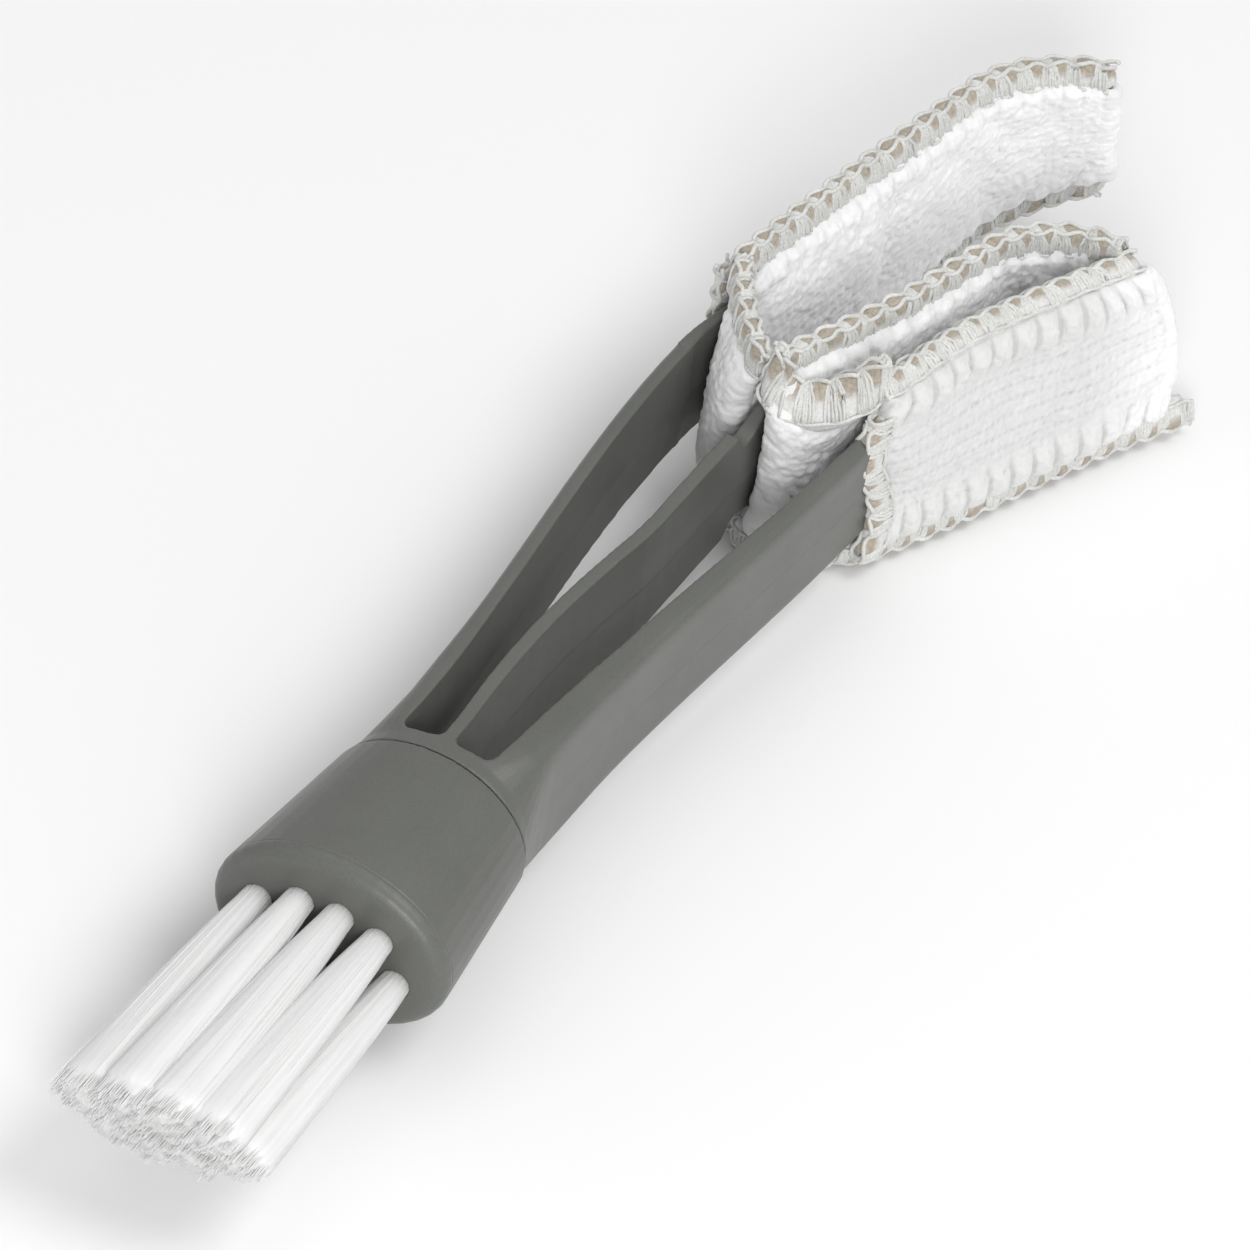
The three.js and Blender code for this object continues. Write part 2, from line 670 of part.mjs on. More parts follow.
const handle = new THREE.Group();
addPiece(handle, "brush_head", brushHead(), PLASTIC);
addPiece(handle, "tufts_left", tuftGroup([0]), NYLON);
addPiece(handle, "tufts_upper", tuftGroup([1, 2, 3]), NYLON);
addPiece(handle, "tufts_right", tuftGroup([4]), NYLON);
addPiece(handle, "tufts_lower", tuftGroup([5, 6, 7]), NYLON);
addPiece(handle, "fork", fork(), PLASTIC);

const cover = new THREE.Group();
cover.position.set(coverOrigin.x, coverOrigin.y, 0);
cover.rotation.z = coverAngle;
for (const name of ["left", "middle", "right"]) {
  addPiece(cover, `pocket_${name}`, pocket(name), MICROFIBRE);
  const sewn = pocketPaths[name].slice(0, -1);
  addPiece(cover, `overlock_top_${name}`, edging(sewn, 1), THREAD);
  addPiece(cover, `overlock_bottom_${name}`, edging(sewn, -1), THREAD);
}
for (const name of ["left", "right"]) {
  const web = webStations(name);
  addPiece(cover, `web_${name}`, strip(web), MICROFIBRE);
  addPiece(cover, `web_edge_top_${name}`, edging(web, 1), THREAD);
  addPiece(cover, `web_edge_bottom_${name}`, edging(web, -1), THREAD);
  addPiece(cover, `mouth_hem_${name}`, mouthHem(name), THREAD);
}

// Centred in plan, standing on z = 0
const brush = new THREE.Group();
brush.add(handle, cover);
brush.updateMatrixWorld(true);
const bounds = new THREE.Box3().setFromObject(brush, true);
const centre = bounds.getCenter(new THREE.Vector3());
brush.position.set(-centre.x, -centre.y, -bounds.min.z);

const part = new THREE.Group();
part.add(brush);

export default part;
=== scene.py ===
"""Looks of a double-ended car vent brush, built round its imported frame.

Shapes are worked out in millimetres and placed in the frame's metres. The handle frame starts at the middle of the
brush face, with x towards the cloth. The cover frame has u along the pull-off line from near the middle pocket's
mouth, v to the left of it and z up.
"""
import json
import math

import bpy
import numpy as np
from mathutils import Matrix, Vector


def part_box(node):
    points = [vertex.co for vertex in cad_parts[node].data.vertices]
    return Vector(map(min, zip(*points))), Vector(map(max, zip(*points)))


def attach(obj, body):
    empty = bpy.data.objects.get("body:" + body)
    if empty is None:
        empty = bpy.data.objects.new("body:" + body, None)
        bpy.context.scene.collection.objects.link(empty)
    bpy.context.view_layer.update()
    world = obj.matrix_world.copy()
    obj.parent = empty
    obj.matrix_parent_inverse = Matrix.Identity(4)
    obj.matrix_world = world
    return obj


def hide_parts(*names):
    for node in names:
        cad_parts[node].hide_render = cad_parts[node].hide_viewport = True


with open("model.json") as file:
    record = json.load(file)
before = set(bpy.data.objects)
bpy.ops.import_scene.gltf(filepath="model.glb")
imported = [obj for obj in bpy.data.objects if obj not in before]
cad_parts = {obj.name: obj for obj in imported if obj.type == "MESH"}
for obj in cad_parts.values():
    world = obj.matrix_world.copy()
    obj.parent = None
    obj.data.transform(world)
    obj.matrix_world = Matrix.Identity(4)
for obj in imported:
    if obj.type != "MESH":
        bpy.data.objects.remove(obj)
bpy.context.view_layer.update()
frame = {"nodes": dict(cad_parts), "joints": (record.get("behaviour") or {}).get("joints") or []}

MM = 0.001

# Camera: where it stands round the brush face, and the point that it aims at, off the face to the right and up
CAMERA_AZIMUTH = math.radians(-66.78)
CAMERA_ELEVATION = math.radians(43.53)
CAMERA_ROLL = math.radians(8.46)
CAMERA_DISTANCE = 1108.3
CAMERA_AIM = (28.52, 30.14)
CAMERA_LENS = 334.5
CAMERA_SENSOR = 36
CAMERA_CLIP = (0.05, 20)

# Stage, in metres: each light's place, size and power, the spot that they point at, the world and the floor
LIGHTS = {
    "key": ((-0.9, -0.45, 0.6), 0.4, 6.5),
    "right": ((0.15, -0.55, 1.1), 0.7, 5),
    "top": ((0.25, 0.35, 1.1), 0.8, 1),
}
LIGHT_TARGET = (0, 0, 0.01)
WORLD_STRENGTH = 0.54
FLOOR_HALF = 3.0
FLOOR_HEIGHT = -0.0002

# Cover frame in the handle frame, and the heights of the cloth between its sewn edges
COVER_ORIGIN = (90.522, -1.936)
CLOTH_TOP = 10.5
CLOTH_BOTTOM = -8.9
CLOTH_HALF = 0.34
CLOTH_STEP = 0.25
SEWN_HALF = 0.5
SEWN_BLEND = 4.0

# Pockets: the mouth's place and the plan path. Sewn edges: how far they stand to the left of that path at the mouth,
# along it and at the tip, how far they are drawn back at the tip, their tilt to the left in degrees, the height that
# they stand out, the length left over past the tip and how far they are set in from the cloth's edge. At mid height
# the fold at the tip stands out by its bulge, and the lower edge rises to the tip by its rise
POCKETS = {
    "left": dict(
        mouth=(5.4, 12.134), fan=4.5, straight=39, curl=-72, curl_length=18, bulge=-0.4, rise=7.8,
        top=dict(shift=(0.2, 0.4, 0.3), back=2.3, tilt=10, height=2.6, tail=0, lift=0),
        bottom=dict(shift=(0, 0.2, 0.2), back=1.2, tilt=-35, height=2.2, tail=0, lift=0),
    ),
    "middle": dict(
        mouth=(-3.5, 0), fan=0, straight=30.5, curl=-76, curl_length=17.5, bulge=0, rise=0,
        top=dict(shift=(-0.4, -2.0, -1.9), back=0, tilt=-8, height=2.7, tail=0, lift=0),
        bottom=dict(shift=(0, 0, 0), back=0, tilt=0, height=2.1, tail=0, lift=0),
    ),
    "right": dict(
        mouth=(3.4, -9.678), fan=-6, straight=29, curl=-6, curl_length=9, bulge=2.6, rise=0,
        top=dict(shift=(0.3, 1.8, 0.9), back=3.0, tilt=50, height=2.0, tail=0, lift=0),
        bottom=dict(shift=(-0.8, -1.3, -1.8), back=0, tilt=-25, height=2.6, tail=4.4, lift=0.85),
    ),
}
SIDES = {"left": 1, "middle": 0, "right": -1}
EDGES = {"top": 1, "bottom": -1}
SHIFT_SHARE = 0.4
TIP_ROUND = 12.0
TILT_REACH = 8.0
RISE_FROM = 24.0
SEAM_PAST_TIP = 0.4
POCKET_SEAM_POINTS = 160

# Webs between the pockets, with upper edges that dip and lean back, and hems of the outer panels
WEB_DEPTH = 3.6
WEB_DIP = {"left": 0.0, "right": 3.4}
WEB_LEAN = {"left": 0, "right": 45}
WEB_HEIGHT = {"left": 2.8, "right": 4.3}
WEB_POINTS = 80
WEB_EDGE_DEPTH = {"left": 1.2, "right": 3.0}
WEB_EDGE_IN = 0.6
WEB_EDGE_PAST = 0.5
WEB_EDGE_POINTS = 60
HEM_HEIGHT = {"left": 1.9, "right": 2.6}
HEM_HALF = {"left": 0.6, "right": 0.92}
HEM_SHIFT = {"left": 1.0, "right": 0.0}
HEM_SWAY = {"left": 0.0, "right": 1.2}
HEM_REACH = 8.0
HEM_TOP = {"left": 10.5, "right": 8.6}
HEM_POINTS = 60
MOUTH_FLARE = {"left": 0.0, "middle": 0.35, "right": 0.0}
MOUTH_REACH = 5.0

# Paddles inside the pockets: a point on each one's line, their fan and their end
PADDLES = {"left": (2.92, 12.0), "middle": (0, 0), "right": (8.75, -9.2)}
PADDLE_FAN = math.radians(3)
PADDLE_TIP = 24.0

# Panels, which go round the paddles: how far they stand off the pocket's middle line, and how they close
PANEL_AT_PADDLE = 1.85
PANEL_PAST_PADDLE = 1.2
PANEL_AT_TIP = 0.8
PANEL_LEAST = 0.8
PANEL_BLEND = 6.0
PANEL_ROUNDING = (3.6, 0.6)
PANEL_POINTS = 400
TIP_POINTS = 40
EDGE_PULL = 1.5

# Random-looking shares for each loop: numbers that mix its column, row and seed
LOOP_KEYS = ((127.1, 311.7, 17.3), (269.5, 183.3, 29.1), (419.2, 371.9, 11.7))
LOOP_KEY_SCALE = 43758.5453
LOOP_STRAY = 0.7
LOOP_LOWEST = 0.55
LOOP_REACH = 0.82

# Pile: loops all over the cloth, lower at its edges, puffs between the stitches and knit rows on the flat outer panel
LOOP_PITCH = 0.82
LOOP_HEIGHT = 0.52
LOOP_SWAY = 0.35
LOOP_AT_EDGE = 0.25
LOOP_EDGE_REACH = 1.2
LOOP_LOSS = 0.45
# Painted shade: share by which the pile's colour value drops on the flat front panel, which darkens it
FRONT_PILE_SHADE = 0.55
PUFF_HEIGHT = {"plain": 0.35, "front": 1.05}
PUFF_PLACE = {"plain": 1.2, "front": 1.9}
PUFF_REACH = {"plain": 1.4, "front": 1.7}
PUFF_SOFTNESS = 0.04
ROW_PITCH = 1.65
ROW_HEIGHT = 0.15
ROW_SHARPNESS = 12
ROW_FROM_EDGE = 3.4
ROW_BLEND = 1.2
TICK_PITCH = 0.95
WAVE_HEIGHT = 0.1

# Painted shade, multiplied into the cloth's colour: in the creases between puffs, over the front panel and in its knit
# rows
CREASE_SHADE = {"plain": 0.3, "front": 1.0}
CREASE_REACH = 0.5
FRONT_SHADE = 0.55
ROW_SHADE = 0.3

# Cloth simulation, on a coarse grid that is scaled to suit the solver
SIM_STEP = 1.25
SIM_SCALE = 0.01
SIM_FRAMES = 14
SIM_GROWTH = 0.03
SIM_OUT = 0.9
SIM_IN = 0.25
SIM_RUFFLE = 0.06
SIM_RUFFLE_SPAN = 10
SIM_RUFFLE_SEED = 3
SIM_CLOTH = dict(
    quality=7, mass=0.2, tension_stiffness=12, compression_stiffness=12, shear_stiffness=4, bending_stiffness=0.6,
    shrink_min=-SIM_GROWTH,
)
EVEN_ROUNDS = 12

# Overlocked edge of the cloth, pinched at each stitch
STITCH = 3.0
EDGE_HALF = 0.92
EDGE_PAST = 0.2
EDGE_SINK = 0.9
EDGE_PINCH = 0.5
EDGE_SCALLOP = 0.45
EDGE_SCALLOP_POWER = 0.8
EDGE_THIN = 0.76
EDGE_SWELL = 0.36
EDGE_STEP = 0.22
EDGE_SIDES = 28
EDGE_POWER = 0.75
EDGE_END = 1.3
EDGE_END_LEAST = 0.05
FUZZ_PITCH = 0.6
FUZZ_SEED = 5
FUZZ_OUT = 0.12
FUZZ_UP = 0.05
RAW_FROM = 0.36
RAW_BLEND = 0.3

# Thread legs that wrap each stitch. Pairs are the least of a random size and the most that is added to it
THREAD_RADIUS = 0.205
TUBE_SIDES = 6
TUBE_ASIDE = (0.31, 0.67, 0.67)
LEG_STRANDS = range(-3, 4)
LEG_POINTS = 17
LEG_PAST = 0.12
LEG_LEEWAY = 0.1
LEG_STRAY = 0.25
LEG_SLANT = (0.36, 0.99)
LEG_SPREAD = (0.8, 0.5)
LEG_FAN = 0.12
LEG_FOOT_FAN = 0.18
LEG_JITTER = 0.05
LEG_OVER = 0.1
LEG_POWER = 0.7
LEG_FOOT = 2.2
LEG_THICK = (0.85, 0.2)

# Thread chains along the crest and needle lines along the foot
CHAIN_STEP = 0.25
CHAIN_OVER = 0.06
CHAIN_PLACE = 0.62
CHAIN_SWING = 0.24
CHAIN_RIPPLE = 0.02
CHAIN_RIPPLE_RATE = 5
CHAIN_THICK = 1.2
NEEDLE_HEIGHT = -0.25
NEEDLE_PLACE = 1.02
NEEDLE_OUT = 0.12
NEEDLE_DEPTH = 0.16
NEEDLE_SWING = 0.06

# First seeds of the stitching, one kind of edge after another
OVERLOCK_SEEDS = {"top": 10, "bottom": 20}
WEB_EDGE_SEEDS = {"top": 30, "bottom": 40}
HEM_SEED = 50

# Mouldings: material, voxel size and rounds of smoothing of each skin. Lines of the mould: half widths, and how far
# the head's one is from its face
MOULDINGS = {"brush_head": ("head_plastic", 0.17, 4), "fork": ("fork_plastic", 0.15, 8)}
FORK_LINE_HALF = 0.1
RIM_LINE_HALF = 0.2
RIM_LINE = 1.8

# Tufts: their holes by node, in steps round the ring, and how they lean and widen towards their tips
TUFTS = {"tufts_left": [0], "tufts_upper": [1, 2, 3], "tufts_right": [4], "tufts_lower": [5, 6, 7]}
TUFT_STEPS = (2, 1, 0, -1, -2, -1, 0, 1)
TUFT_PITCH = 4.35
TUFT_ROW_SHIFT = 1.0
TUFT_RING_WIDTH = 16.6
TUFT_RING_HEIGHT = 7.6
TUFT_SPLAY = (0.96, 0.78)
TUFT_LEAN = 0.5
TUFT_ROOT_RADIUS = 1.46
TUFT_TIP_RADIUS = (3.5, 2.6)
TUFT_WIDENING = 0.7
TUFT_SEED = 100

# Bristles: strands drawn together in clumps towards their ends, round a ribbed bundle that stands for the inner ones
BRISTLE_LENGTH = 32.6
BRISTLE_SLOPE = 0.11
BRISTLE_SHEAR = 0.3
BRISTLE_RAGGED = 1.1
BRISTLE_UNEVEN = 0.2
BRISTLE_ROUNDING = 0.5
BRISTLE_SINK = 3.2
BRISTLE_RADIUS = 0.08
BRISTLE_END = 0.55
BRISTLE_BOW = 0.12
BRISTLE_POINTS = 9
STRANDS_PER_TUFT = 400
STRANDS_PER_CLUMP = 16
STRANDS_FROM = 0.1
CLUMP_FROM = 0.6
CLUMP_PULL = 0.4
CLUMP_STRAY = 0.1
BUNDLE_SIZE = 0.975
BUNDLE_LENGTH = 0.968
BUNDLE_END = 0.8
BUNDLE_RIBS = 36
BUNDLE_RINGS = 24
BUNDLE_ROUGH = 0.025
BUNDLE_ROOT_ROUGH = 0.4
BUNDLE_SEED = 200


def handle_origin():
    low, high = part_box("brush_head")
    return np.array([low.x, (low.y + high.y) / 2, (low.z + high.z) / 2])


FACE = handle_origin()


def from_handle(points):
    """Points of the handle frame, in millimetres, as places in the frame."""
    return FACE + np.asarray(points, float) * MM


def from_cover(points):
    """Points of the cover frame, in millimetres, as places in the frame."""
    along = frame["joints"][0]["axis"]
    axes = np.array([along, [-along[1], along[0], 0], [0, 0, 1]])
    return from_handle([*COVER_ORIGIN, 0] + np.asarray(points, float) @ axes)


def smooth(value):
    value = np.clip(value, 0, 1)
    return value * value * (3 - 2 * value)


def bowed(value, power):
    """A power that keeps the sign."""
    return np.sign(value) * np.abs(value) ** power


def travelled(points):
    """Distance along a line of points, at each of them."""
    return np.concatenate([[0], np.cumsum(np.linalg.norm(np.diff(points, axis=0), axis=1))])


def mesh_object(name, points, faces):
    """A new object from an array of places and a list or array of faces."""
    mesh = bpy.data.meshes.new(name)
    faces = np.asarray(faces, np.int32)
    size = faces.shape[1]
    mesh.vertices.add(len(points))
    mesh.vertices.foreach_set("co", np.asarray(points, np.float32).ravel())
    mesh.loops.add(faces.size)
    mesh.loops.foreach_set("vertex_index", faces.ravel())
    mesh.polygons.add(len(faces))
    mesh.polygons.foreach_set("loop_start", np.arange(0, faces.size, size, dtype=np.int32))
    mesh.polygons.foreach_set("use_smooth", np.full(len(faces), True))
    mesh.update(calc_edges=True)
    mesh.validate()
    obj = bpy.data.objects.new(name, mesh)
    bpy.context.scene.collection.objects.link(obj)
    return obj


def add_values(obj, name, values):
    attribute = obj.data.attributes.new(name, "FLOAT", "POINT")
    attribute.data.foreach_set("value", np.asarray(values, np.float32))


def grid_faces(rows, columns, start=0, wrap=False):
    """Quads of a grid whose points are listed row by row."""
    i = np.arange(rows - 1)[:, None]
    j = np.arange(columns if wrap else columns - 1)[None, :]
    k = (j + 1) % columns
    a = i * columns + j
    b = i * columns + k
    quads = np.stack([a, b, b + columns, a + columns], axis=-1)
    return quads.reshape(-1, 4) + start


def bumps(x, y, pitch, seed):
    """Rounded loops on a plane: the height of the nearest one, from 0 between loops to 1 on top of one."""
    cell_x = np.floor(x / pitch).astype(int)
    cell_y = np.floor(y / pitch).astype(int)
    height = np.zeros_like(x)
    for dx in (-1, 0, 1):
        for dy in (-1, 0, 1):
            kx, ky = cell_x + dx, cell_y + dy
            keys = [np.sin(kx * a + ky * b + seed * c) * LOOP_KEY_SCALE for a, b, c in LOOP_KEYS]
            stray_x, stray_y, extra = (key - np.floor(key) for key in keys)
            px = (kx + 0.5 + LOOP_STRAY * (stray_x - 0.5)) * pitch
            py = (ky + 0.5 + LOOP_STRAY * (stray_y - 0.5)) * pitch
            tall = LOOP_LOWEST + (1 - LOOP_LOWEST) * extra
            far = np.hypot(x - px, y - py) / (LOOP_REACH * pitch)
            height = np.maximum(height, tall * np.sqrt(np.clip(1 - far * far, 0, None)))
    return height


def waves(x, y, seed):
    """Slow unevenness of hand-sewn cloth, between about -1 and 1: three waves of unlike lengths and slants."""
    return (
        np.sin(0.31 * x + 0.9 * seed) * np.cos(0.27 * y + 1.7 * seed)
        + 0.6 * np.sin(0.83 * x - 0.6 * y + 2.3 * seed)
        + 0.4 * np.cos(1.37 * x + 0.9 * y + 0.7 * seed)
    ) / 2


# Cloth


def pocket_line(name, run):
    """Place and heading of a pocket's middle line, at distances from its mouth."""
    spec = POCKETS[name]
    run = np.asarray(run, float)
    fan = math.radians(spec["fan"])
    rate = math.radians(spec["curl"]) / spec["curl_length"]
    level = np.minimum(run, spec["straight"])
    heading = fan + rate * np.maximum(run - spec["straight"], 0)
    u = spec["mouth"][0] + level * math.cos(fan) + (np.sin(heading) - math.sin(fan)) / rate
    v = spec["mouth"][1] + level * math.sin(fan) - (np.cos(heading) - math.cos(fan)) / rate
    return u, v, heading


def pocket_length(name):
    return POCKETS[name]["straight"] + POCKETS[name]["curl_length"]


def ways(heading):
    """Directions along a pocket and to the left of it, in u and v."""
    along = np.stack([np.cos(heading), np.sin(heading)])
    return along, np.stack([-along[1], along[0]])


def near_tip(name, run, reach):
    """Share of the way over the last stretch of a pocket, up to its tip."""
    return smooth((run - pocket_length(name) + reach) / reach)


def panel_offset(name, side, run):
    """How far the left (+1) or right (-1) panel stands from the middle line, so that it goes round the paddle."""
    u, v, heading = pocket_line(name, run)
    start_u, start_v = PADDLES[name]
    paddle_v = start_v + SIDES[name] * math.tan(PADDLE_FAN) * (u - start_u)
    past = smooth((u - PADDLE_TIP) / PANEL_BLEND)
    middle = (paddle_v - v) * np.cos(heading) * (1 - past)
    half = PANEL_AT_PADDLE + (PANEL_PAST_PADDLE - PANEL_AT_PADDLE) * past
    half = half + (PANEL_AT_TIP - half) * near_tip(name, run, PANEL_BLEND)
    half = half + MOUTH_FLARE[name] * (1 - smooth(run / MOUTH_REACH))
    return np.maximum(half + side * middle, PANEL_LEAST)


def seam_shift(name, run, edge):
    """How far a sewn edge stands to the left of the middle line."""
    first, along, last = POCKETS[name][edge]["shift"]
    share = np.asarray(run, float) / pocket_length(name)
    start, rest = smooth(share / SHIFT_SHARE), smooth((share - SHIFT_SHARE) / (1 - SHIFT_SHARE))
    return first + (along - first) * start + (last - along) * rest


def edge_move(name, run, edge):
    """Where a sewn edge stands from the middle line, in u and v."""
    along, across = ways(pocket_line(name, run)[2])
    back = POCKETS[name][edge]["back"] * near_tip(name, run, TIP_ROUND)
    return across * seam_shift(name, run, edge) - along * back


def tip_bulge(name, run):
    """How far the cloth stands out towards the tip at mid height, in u and v."""
    along, _ = ways(pocket_line(name, run)[2])
    return along * POCKETS[name]["bulge"] * near_tip(name, run, TIP_ROUND)


def edge_rise(name, run):
    """How far a pocket's lower edge has risen."""
    return POCKETS[name]["rise"] * np.clip((run - RISE_FROM) / (pocket_length(name) - RISE_FROM), 0, 1) ** 2


COLUMN = (
    "wide_u", "wide_v", "seam_u", "seam_v", "top_u", "top_v", "low_u", "low_v", "out_u", "out_v",
    "sewn", "run", "flat", "hem", "rise", "dip",
)


def column_rows(**values):
    """Columns of the strip as one array: each value in COLUMN order, or 0 where it isn't given."""
    size = max(np.size(value) for value in values.values())
    return np.stack([np.broadcast_to(np.asarray(values.get(key, 0), float), size) for key in COLUMN], axis=1)


def pocket_rows(name, run, wide, seam, **values):
    """Columns of a pocket, from the plan of its wide panels and of its sewn edges."""
    top, low, out = edge_move(name, run, "top"), edge_move(name, run, "bottom"), tip_bulge(name, run)
    return column_rows(
        wide_u=wide[0], wide_v=wide[1], seam_u=seam[0], seam_v=seam[1],
        top_u=top[0], top_v=top[1], low_u=low[0], low_v=low[1], out_u=out[0], out_v=out[1],
        run=run, rise=edge_rise(name, run), **values,
    )


def panel_columns(name, side, flat=0.0):
    """Columns of one panel from the mouth to the tip: side is +1 for the pocket's left panel, -1 for its right one."""
    outer = side == SIDES[name]
    run = np.linspace(HEM_SHIFT[name] if outer else 0, pocket_length(name), PANEL_POINTS)
    u, v, heading = pocket_line(name, run)
    across = ways(heading)[1]
    line = np.stack([u, v])
    hem = HEM_SWAY[name] * (1 - smooth(run / HEM_REACH)) if outer else 0
    return pocket_rows(
        name, run, line + across * side * panel_offset(name, side, run), line + across * side * SEWN_HALF,
        sewn=smooth(run / SEWN_BLEND), flat=flat, hem=hem,
    )


def tip_columns(name):
    """Columns of the fold at a pocket's tip, from its left panel round to its right one."""
    turn = np.linspace(0, math.pi, TIP_POINTS)[1:-1]
    length = pocket_length(name)
    u, v, heading = pocket_line(name, length)
    along, across = (way[:, None] for way in ways(heading))
    half = (panel_offset(name, 1, length) + panel_offset(name, -1, length)) / 2
    way = np.cos(turn) * across + np.sin(turn) * along
    end = np.array([[u], [v]])
    return pocket_rows(name, length, end + half * way, end + SEWN_HALF * way, sewn=1)


def web_arc(start, end, depth, count):
    """Plan path between two places that bows out towards the blades."""
    turn = np.linspace(0, math.pi, count)
    line = (start + end) / 2 + np.cos(turn)[:, None] * (start - end) / 2
    line[:, 0] -= depth * np.sin(turn)
    return line


def web_line(name):
    """Plan path of a web from the outer pocket's inner panel round to the middle pocket."""
    side = SIDES[name]
    start = POCKETS[name]["mouth"] - np.array([0, side * panel_offset(name, -side, 0.0)])
    end = POCKETS["middle"]["mouth"] + np.array([0, side * panel_offset("middle", side, 0.0)])
    return web_arc(start, end, WEB_DEPTH, WEB_POINTS)


def web_edge(name, count):
    """Plan path of a web's sewn edge, between the sewn edges of its two pockets."""
    inward = np.array([0, SIDES[name] * WEB_EDGE_IN])
    start, end = POCKETS[name]["mouth"] - inward, POCKETS["middle"]["mouth"] + inward
    return web_arc(start, end, WEB_EDGE_DEPTH[name], count)


def web_shift(name, edge, share):
    """How far a web's sewn edge stands to the left, at a share of the way from the outer pocket to the middle one."""
    outer = POCKETS[name][edge]["shift"][0]
    return outer + (POCKETS["middle"][edge]["shift"][0] - outer) * smooth(share)


def web_columns(name):
    line = web_line(name)[1:-1]
    edge = web_edge(name, WEB_POINTS)[1:-1]
    run = travelled(line)
    share = run / run[-1]
    return column_rows(
        wide_u=line[:, 0], wide_v=line[:, 1], seam_u=edge[:, 0], seam_v=edge[:, 1],
        top_v=web_shift(name, "top", share), low_v=web_shift(name, "bottom", share),
        sewn=1, run=run, dip=WEB_DIP[name] * np.sin(math.pi * share),
    )


def strip_columns(step):
    """The whole strip of cloth, folded over the three paddles, as evenly spaced columns."""
    dense = np.concatenate([
        panel_columns("left", 1), tip_columns("left"), panel_columns("left", -1)[::-1],
        web_columns("left"),
        panel_columns("middle", 1), tip_columns("middle"), panel_columns("middle", -1)[::-1],
        web_columns("right")[::-1],
        panel_columns("right", 1), tip_columns("right"), panel_columns("right", -1, flat=1.0)[::-1],
    ])
    along = travelled(dense[:, :2])
    count = int(round(along[-1] / step)) + 1
    even = np.linspace(0, along[-1], count)
    return even, {key: np.interp(even, along, dense[:, k]) for k, key in enumerate(COLUMN)}


def edge_shares(level):
    """How far the cloth follows its upper and lower edges, at levels from -1 to 1."""
    return ((1 + level) / 2) ** EDGE_PULL, ((1 - level) / 2) ** EDGE_PULL


def strip_surface(step):
    """Middle surface of the strip: (columns, rows, 3) points in the cover frame, and its columns."""
    along, column = strip_columns(step)
    rows = int(round((CLOTH_TOP - CLOTH_BOTTOM) / step)) + 1
    level = np.linspace(-1, 1, rows)
    bend, close = PANEL_ROUNDING
    full = np.clip(1 - np.abs(level) ** bend, 0, 1) ** close
    each = {key: values[:, None] for key, values in column.items()}
    spread = 1 - each["sewn"] * (1 - full)
    up, down = edge_shares(level)
    middle = 1 - level ** 2
    u, v = (
        each[f"seam_{axis}"] + (each[f"wide_{axis}"] - each[f"seam_{axis}"]) * spread
        + each[f"top_{axis}"] * up + each[f"low_{axis}"] * down + each[f"out_{axis}"] * middle
        for axis in "uv"
    )
    u = u + each["hem"] * np.sin(math.pi * (level + 1))
    high, low = CLOTH_TOP - each["dip"], CLOTH_BOTTOM + each["rise"]
    z = low + (high - low) * (level + 1) / 2
    return np.stack([u, v, z], axis=-1), along, column, level


def surface_normals(points):
    across = np.gradient(points, axis=0)
    upward = np.gradient(points, axis=1)
    normal = np.cross(across, upward)
    return normal / np.maximum(np.linalg.norm(normal, axis=-1, keepdims=True), 1e-9)


def settled():
    """How far the cloth's points move along their normals when the sewn strip relaxes, on a coarse grid."""
    points, along, _, level = strip_surface(SIM_STEP)
    columns, rows = points.shape[:2]
    normal = surface_normals(points)
    ruffle = SIM_RUFFLE * waves(along[:, None], level * SIM_RUFFLE_SPAN, SIM_RUFFLE_SEED)
    start = points + normal * ruffle[..., None]
    obj = mesh_object("cloth_rest", start.reshape(-1, 3) * SIM_SCALE, grid_faces(columns, rows))
    sewn = obj.vertex_groups.new(name="sewn")
    edge = np.arange(columns)
    sewn.add([int(i) for i in np.concatenate([edge * rows, edge * rows + rows - 1])], 1.0, "REPLACE")
    cloth = obj.modifiers.new("relax", "CLOTH")
    for key, value in SIM_CLOTH.items():
        setattr(cloth.settings, key, value)
    cloth.settings.vertex_group_mass = "sewn"
    cloth.settings.effector_weights.gravity = 0
    cloth.collision_settings.use_collision = False
    cloth.point_cache.frame_end = SIM_FRAMES
    scene = bpy.context.scene
    for number in range(1, SIM_FRAMES + 1):
        scene.frame_set(number)
    shape = obj.evaluated_get(bpy.context.evaluated_depsgraph_get()).to_mesh()
    moved = np.empty(len(shape.vertices) * 3, np.float32)
    shape.vertices.foreach_get("co", moved)
    scene.frame_set(1)
    bpy.data.objects.remove(obj)
    delta = moved.reshape(points.shape) / SIM_SCALE - points
    out = np.clip((delta * normal).sum(-1), -SIM_IN, SIM_OUT)
    return along, level, out


def resample(along, level, field, new_along, new_level):
    """A coarse field on a finer grid, by straight lines each way, then evened out."""
    rows = np.stack([np.interp(new_level, level, line) for line in field])
    fine = np.stack([np.interp(new_along, along, rows[:, j]) for j in range(len(new_level))], axis=1)
    for _ in range(EVEN_ROUNDS):
        fine[1:-1] = (fine[:-2] + 2 * fine[1:-1] + fine[2:]) / 4
        fine[:, 1:-1] = (fine[:, :-2] + 2 * fine[:, 1:-1] + fine[:, 2:]) / 4
    return fine


def by_panel(sizes, front):
    """A size on the plain panels, or on the front one where front is 1."""
    return sizes["plain"] + (sizes["front"] - sizes["plain"]) * front


